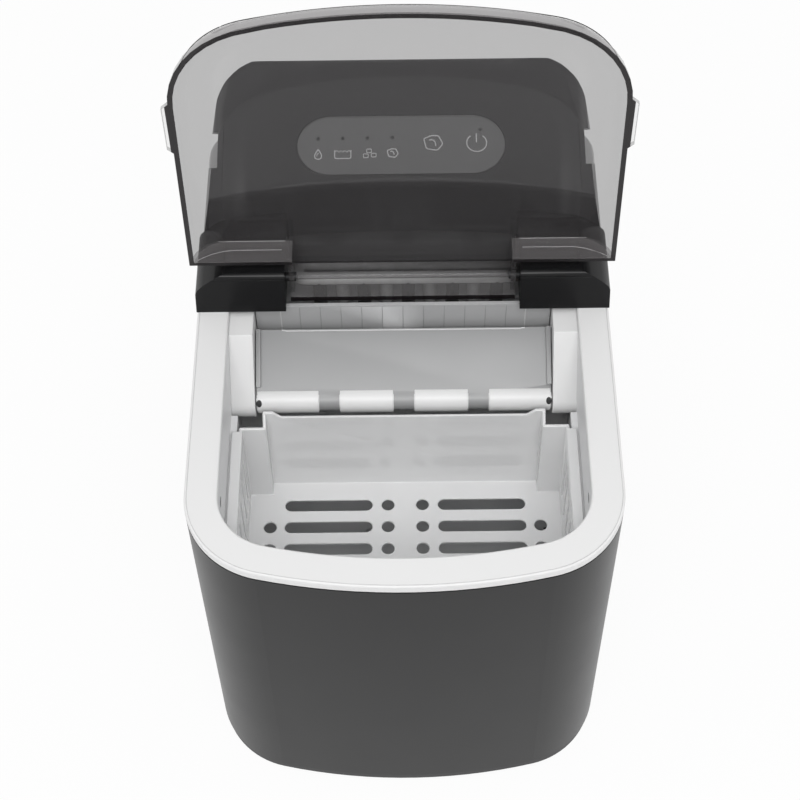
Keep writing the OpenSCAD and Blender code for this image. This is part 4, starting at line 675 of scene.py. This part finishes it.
def makeLidLines(s):
    # a fine moulded line where the dome turns into its top: the housing's outline, moved in, on the open lid
    pin, turn = lidTurn()
    flat = wholePlan(shellPlan(s["beadOut"], s["beadEnd"]), body["rimTop"] + s["beadUp"])
    path = (flat - pin) @ turn + pin
    place(tubePiece("lidBead", [path], s["beadRadius"], 6), "lid", lidEdge)
    # painted highlights as light lines on the end walls beside the tail: straight, then bent down as a
    # parabola
    t = np.linspace(0, 1, 14)
    bend = np.clip((t - s["lineBend"]) / (1 - s["lineBend"]), 0, 1) ** 2
    lines = []
    for side in (-1, 1):
        for x0, x1, z0, z1 in s["endLines"]:
            x, z = side * (x0 + (x1 - x0) * t), body["rimTop"] + (z0 + (z1 - z0) * bend)
            flat = np.stack([x, np.full(len(t), s["lineDeep"] + frontY), z], axis=1)
            lines.append((flat - pin) @ turn + pin)
    place(tubePiece("lidLines", lines, s["lineRadius"], 6), "lid", lidLine)


makeShovel(shovelSet)
makeTipLine(shovelSet)
makeWebs(shovelSet)
makeBarrels(shovelSet)
makeHoles(shovelSet)
makeTray(traySet)
makeLid(lidSet)
makeLidLines(lidSet)

# where the painted light lies and where the feed pipes are plated: depths from the front face, heights
# above the rim and half the width about the middle
coldSet = {"rearFrom": 0.2075, "tubeFrom": -0.0125, "pipeHalf": 0.078, "pipeFrom": -0.03}


def makeCold(s):
    # the cross tubes and the rear fingers are painted light, a painted highlight on the tubes and a painted
    # lit ground behind the front fingers, which stay dark; the feed pipes are plated
    piece = softPiece("evaporator", 0)
    centre = faceData(piece)[0]
    deep, up = centre[:, 1] - frontY, centre[:, 2] - body["rimTop"]
    # painted light on the cross tubes and the rear fingers
    paint(piece, (deep > s["rearFrom"]) | (up > s["tubeFrom"]), nickelFrost)
    dress("evaporator", piece, 0)
    piece = softPiece("evaporator_lines", 0)
    centre = faceData(piece)[0]
    inside = (np.abs(centre[:, 0]) < s["pipeHalf"]) & (centre[:, 2] > body["rimTop"] + s["pipeFrom"])
    paint(piece, inside, nickelPlate)
    dress("evaporator_lines", piece, 0)


makeCold(coldSet)
print("shovel, tray and lid made")

# the line's place inside the outer edge, its radius, and where its straight sides start and end, in metres
rimSet = {"inside": -0.0013, "radius": 0.00022, "sideStep": 0.004, "sideBack": 0.180}


def makeRimLine(s):
    # a fine step on top of the white rim, round its front and sides just inside the outer edge, drawn grey as
    # the step's painted shade
    half = shellPlan(s["inside"], math.pi / 2)
    x, y = half[-1]
    side = np.stack([np.full(10, x), np.linspace(y + s["sideStep"], s["sideBack"], 10)], axis=1)
    path = wholePlan(np.concatenate([half, side]), body["rimTop"])
    place(tubePiece("rimLine", [path], s["radius"]), "body", rimShade)


makeRimLine(rimSet)

# the panel's lower edge and slope in degrees, and the ink's faces and usual width, in metres
panelSet = {
    "origin": (0.0, 0.232, 0.277), "slope": 13.9, "up": 0.0166, "inkLow": -0.00012, "inkHigh": 0.00014,
    "line": 0.00060,
}
# the signs in millimetres from the panel's middle, with small and large cubes by place and size, and the
# widths of the other lines in metres
signSet = {
    "drop": (-45.1, -5.4, 2.5, 3.0),
    "glint": [(-45.9, -6.6), (-45.6, -5.4), (-44.9, -4.6)],
    "tray": [(-36.2, -2.9), (-36.1, -4), (-36.1, -7.2), (-35.9, -7.8), (-35.3, -8.1), (-31.7, -8.1),
             (-28.1, -8.1), (-27.5, -7.8), (-27.3, -7.2), (-27.3, -4), (-27.2, -2.9)],
    "heap": [(-36.0, -4.0), (-34.9, -3.1), (-33.8, -4.3), (-32.7, -3.1), (-31.7, -4.3), (-30.6, -3.1),
             (-29.5, -4.3), (-28.4, -3.1), (-27.3, -4.0)],
    "loose": ((-19.2, -6.6), (-17.4, -3.6), (-14.9, -6.2)),
    "looseHalf": (1.3, 1.15),
    "cubes": ((-4.6, -5.1, 0.58), (17.5, 0.9, 1.0)),
    "cube": [(-5.2, 2.6), (-1.2, 4.5), (2.9, 4.4), (5.2, -0.6), (2.2, -4.6), (-3.7, -3.6)],
    "hook": [(-2.2, 1.7), (-1.0, 2.0), (0.1, 1.7), (0.9, 0.7), (1.2, -0.6), (1.3, -1.9)],
    "power": (41.1, 0.7, 5.4, 5.4, 128, 412),
    "stem": [(41.0, 0.9), (41.0, 2.8), (41.0, 4.7), (41.0, 6.6)],
    "border": (38.15, 17.65),
    "lamps": ((-45.1, 4.3, 1.05), (-31.7, 4.4, 1.05), (-18.3, 4.4, 1.05), (-4.7, 4.5, 1.05),
              (43.2, 8.9, 0.9)),
    "glintLine": 0.0004, "fineLine": 0.00045, "borderLine": 0.0006,
}


def onPanel(uv, height, s):
    # a point of the sloping panel: origin + u across + v up the slope + height along its normal
    a = math.radians(s["slope"])
    u, v = uv[..., 0], uv[..., 1] + s["up"]
    x0, y0, z0 = s["origin"]
    y = y0 + frontY + v * math.cos(a) - height * math.sin(a)
    return np.stack([x0 + u, y, z0 + v * math.sin(a) + height * math.cos(a)], axis=-1)


def inkLine(points, s, closed=False, width=None):
    # a flat line of even width along a 2-D path, as a thin bar: the path moved half the width to both sides
    p = np.asarray(points, dtype=float) / 1000
    w = (width or s["line"]) / 2
    ahead = np.roll(p, -1, axis=0) - np.roll(p, 1, axis=0) if closed else np.gradient(p, axis=0)
    ahead /= np.linalg.norm(ahead, axis=1, keepdims=True)
    side = np.stack([-ahead[:, 1], ahead[:, 0]], axis=1) * w
    corners = ((side, "inkLow"), (side, "inkHigh"), (-side, "inkHigh"), (-side, "inkLow"))
    return np.stack([onPanel(p + move, s[level], s) for move, level in corners], axis=1), closed


def inkPiece(name, lines, material):
    verts, faces, start = [], [], 0
    for grid, closed in lines:
        n = len(grid)
        verts.append(grid.reshape(-1, 3))
        faces += gridFaces(n, 4, closed, True, start)
        if not closed:
            faces.append([start, start + 1, start + 2, start + 3])
            faces.append([start + 4 * n - 1, start + 4 * n - 2, start + 4 * n - 3, start + 4 * n - 4])
        start += 4 * n
    obj = newObject(name, np.concatenate(verts), faces, False)
    turnOut(obj)
    place(obj, "body", material)


def arc(cx, cy, rx, ry, a0=0.0, a1=360.0, n=40):
    # an arc of an ellipse, by its centre, half sizes and angles
    a = np.radians(np.linspace(a0, a1, n, endpoint=a1 - a0 < 360))
    return np.stack([cx + rx * np.cos(a), cy + ry * np.sin(a)], axis=1)


def loop(corners, cut=0.2, n=6):
    # a closed path whose corners are parabolas that take up the given share of each side, at both its ends
    c = np.asarray(corners, dtype=float)
    ahead, back = np.roll(c, -1, axis=0), np.roll(c, 1, axis=0)
    t = np.linspace(0, 1, n)[None, :, None]
    p0, p2 = (c[:, None] * (1 - cut) + other[:, None] * cut for other in (back, ahead))
    return ((1 - t) ** 2 * p0 + 2 * t * (1 - t) * c[:, None] + t ** 2 * p2).reshape(-1, 2)


def makeSigns(s, g):
    # water drop, full tray, loose cubes, small and large cube and power, in printed lines; the drop is
    # x = half width * sin t * |sin(t / 2)|^1.2 and y = half height * cos t
    t = np.linspace(0, 2 * np.pi, 48, endpoint=False)
    x, y, wide, high = g["drop"]
    drop = np.stack([x + wide * np.sin(t) * np.abs(np.sin(t / 2)) ** 1.2, y + high * np.cos(t)], axis=1)
    lines = [inkLine(drop, s, True), inkLine(g["glint"], s, False, g["glintLine"])]
    lines += [inkLine(g["tray"], s), inkLine(g["heap"], s, False, g["fineLine"])]
    square = np.array([(-1, -1), (1, -1), (1, 1), (-1, 1)]) * g["looseHalf"]
    lines += [inkLine(loop(square + spot), s, True, g["fineLine"]) for spot in g["loose"]]
    for x, y, size in g["cubes"]:
        lines.append(inkLine(loop(np.array(g["cube"]) * size + (x, y)), s, True))
        lines.append(inkLine(np.array(g["hook"]) * size + (x, y), s))
    lines += [inkLine(arc(*g["power"]), s), inkLine(g["stem"], s)]
    inkPiece("panelIcons", lines, inkGrey)
    half, r = g["border"]
    border = np.concatenate([arc(half, 0, r, r, -90, 90, 30), arc(-half, 0, r, r, 90, 270, 30)])
    inkPiece("panelBorder", [inkLine(border, s, True, g["borderLine"])], borderGrey)
    lamps = [inkLine(arc(x, y, r / 2, r / 2, n=14), s, True, r / 1000) for x, y, r in g["lamps"]]
    inkPiece("panelLamps", lamps, ledDark)


makeSigns(panelSet, signSet)

# the seams' distance from the middle, the hollow wall's circle, and depths and heights along the seam
seamSet = {
    "half": 0.097, "radius": 0.00038, "hollowRadius": 0.560, "hollowBack": -0.334, "wall": (0.020, 0.033),
    "bend": ((0, 0.0339), (0, 0.0394), (0.0053, 0.0407)),
    "faceFrom": (0.009, 0.0416), "faceTo": (0.2605, 0.0500),
}


def makeSeams(s):
    # the joint between the front and the cheeks of the rear cover: up the hollow wall, round its edge by a
    # parabola and back along the top
    y = s["hollowBack"] + math.sqrt(s["hollowRadius"] ** 2 - s["half"] ** 2)
    t = np.linspace(0, 1, 12)[:, None]
    p0, p1, p2 = (np.array([y + dy, z]) for dy, z in s["bend"])
    bend = (1 - t) ** 2 * p0 + 2 * t * (1 - t) * p1 + t ** 2 * p2
    wall = np.stack([np.full(10, y), np.linspace(*s["wall"], 10)], axis=1)
    (dy, z0), (y1, z1) = s["faceFrom"], s["faceTo"]
    face = np.stack([np.linspace(y + dy, y1, 14), np.linspace(z0, z1, 14)], axis=1)
    deep, up = np.concatenate([wall, bend, face]).T
    places = [np.full(len(up), x) for x in (-s["half"], s["half"])]
    paths = [np.stack([x, deep + frontY, up + body["rimTop"]], axis=1) for x in places]
    place(tubePiece("coverSeams", paths, s["radius"]), "body", seamDark)


makeSeams(seamSet)
print("panel signs and cover seams made")

# each lamp's place, aim, size and power, the strength of the light from all round, the floor's share of white
studio = {
    "lamps": {
        "topLamp": ((0.0, 0.1, 1.9), (0, 0, 0.2), (1.6, 1.6), 3.0),
        "leftLamp": ((-1.3, -0.1, 0.8), (0, 0, 0.15), (0.9, 1.4), 3.5),
        "rightLamp": ((1.3, -0.1, 0.8), (0, 0, 0.15), (0.9, 1.4), 3.5),
        "frontLamp": ((0.0, -1.12, 1.74), (0, 0.02, 0.2), (1.3, 0.9), 19.0),
    },
    "world": 0.44, "floorWhite": 0.93, "floorHalf": 6,
}


def areaLight(name, spot, target, size, power):
    data = bpy.data.lights.new(name, "AREA")
    data.shape = "RECTANGLE"
    data.size, data.size_y = size
    data.energy = power
    lamp = bpy.data.objects.new(name, data)
    look = (Vector(target) - Vector(spot)).to_track_quat("-Z", "Y")
    lamp.matrix_world = Matrix.Translation(spot) @ look.to_matrix().to_4x4()
    bpy.context.scene.collection.objects.link(lamp)


def seenWhite(t, shader, target, share=1.0):
    # plain white for the camera, mirrors and clear plastic, and the given shader for the light on the object
    paths = t.nodes.new("ShaderNodeLightPath")
    glow = t.nodes.new("ShaderNodeEmission" if target.type == "OUTPUT_MATERIAL" else "ShaderNodeBackground")
    glow.inputs["Strength"].default_value = 1
    glow.inputs["Color"].default_value = (1, 1, 1, 1)
    seen = paths.outputs["Is Camera Ray"]
    for ray in ("Is Transmission Ray", "Is Glossy Ray"):
        seen = maths(t, "MAXIMUM", seen, paths.outputs[ray])
    mix = t.nodes.new("ShaderNodeMixShader")
    t.links.new(maths(t, "MULTIPLY", seen, share), mix.inputs["Fac"])
    t.links.new(shader.outputs[0], mix.inputs[1])
    t.links.new(glow.outputs[0], mix.inputs[2])
    t.links.new(mix.outputs[0], target.inputs["Surface"])


def makeStudio(s):
    for name, (spot, target, size, power) in s["lamps"].items():
        areaLight(name, spot, target, size, power)
    world = bpy.data.worlds.new("studioWorld")
    bpy.context.scene.world = world
    world.use_nodes = True
    sky = world.node_tree.nodes["Background"]
    sky.inputs["Color"].default_value = (1, 1, 1, 1)
    sky.inputs["Strength"].default_value = s["world"]
    seenWhite(world.node_tree, sky, world.node_tree.nodes["World Output"])
    material = bpy.data.materials.new("paleFloor")
    material.use_nodes = True
    t = material.node_tree
    pale = t.nodes["Principled BSDF"]
    pale.inputs["Base Color"].default_value = (0.9, 0.9, 0.9, 1)
    pale.inputs["Roughness"].default_value = 0.8
    seenWhite(t, pale, t.nodes["Material Output"], s["floorWhite"])
    h = s["floorHalf"]
    floor = newObject("floorPlane", [(-h, -h, 0), (h, -h, 0), (h, h, 0), (-h, h, 0)], [(0, 1, 2, 3)], False)
    floor.data.materials.append(material)


makeStudio(studio)
bpy.context.scene.view_settings.view_transform = "Standard"
bpy.context.view_layer.update()
print("studio set")
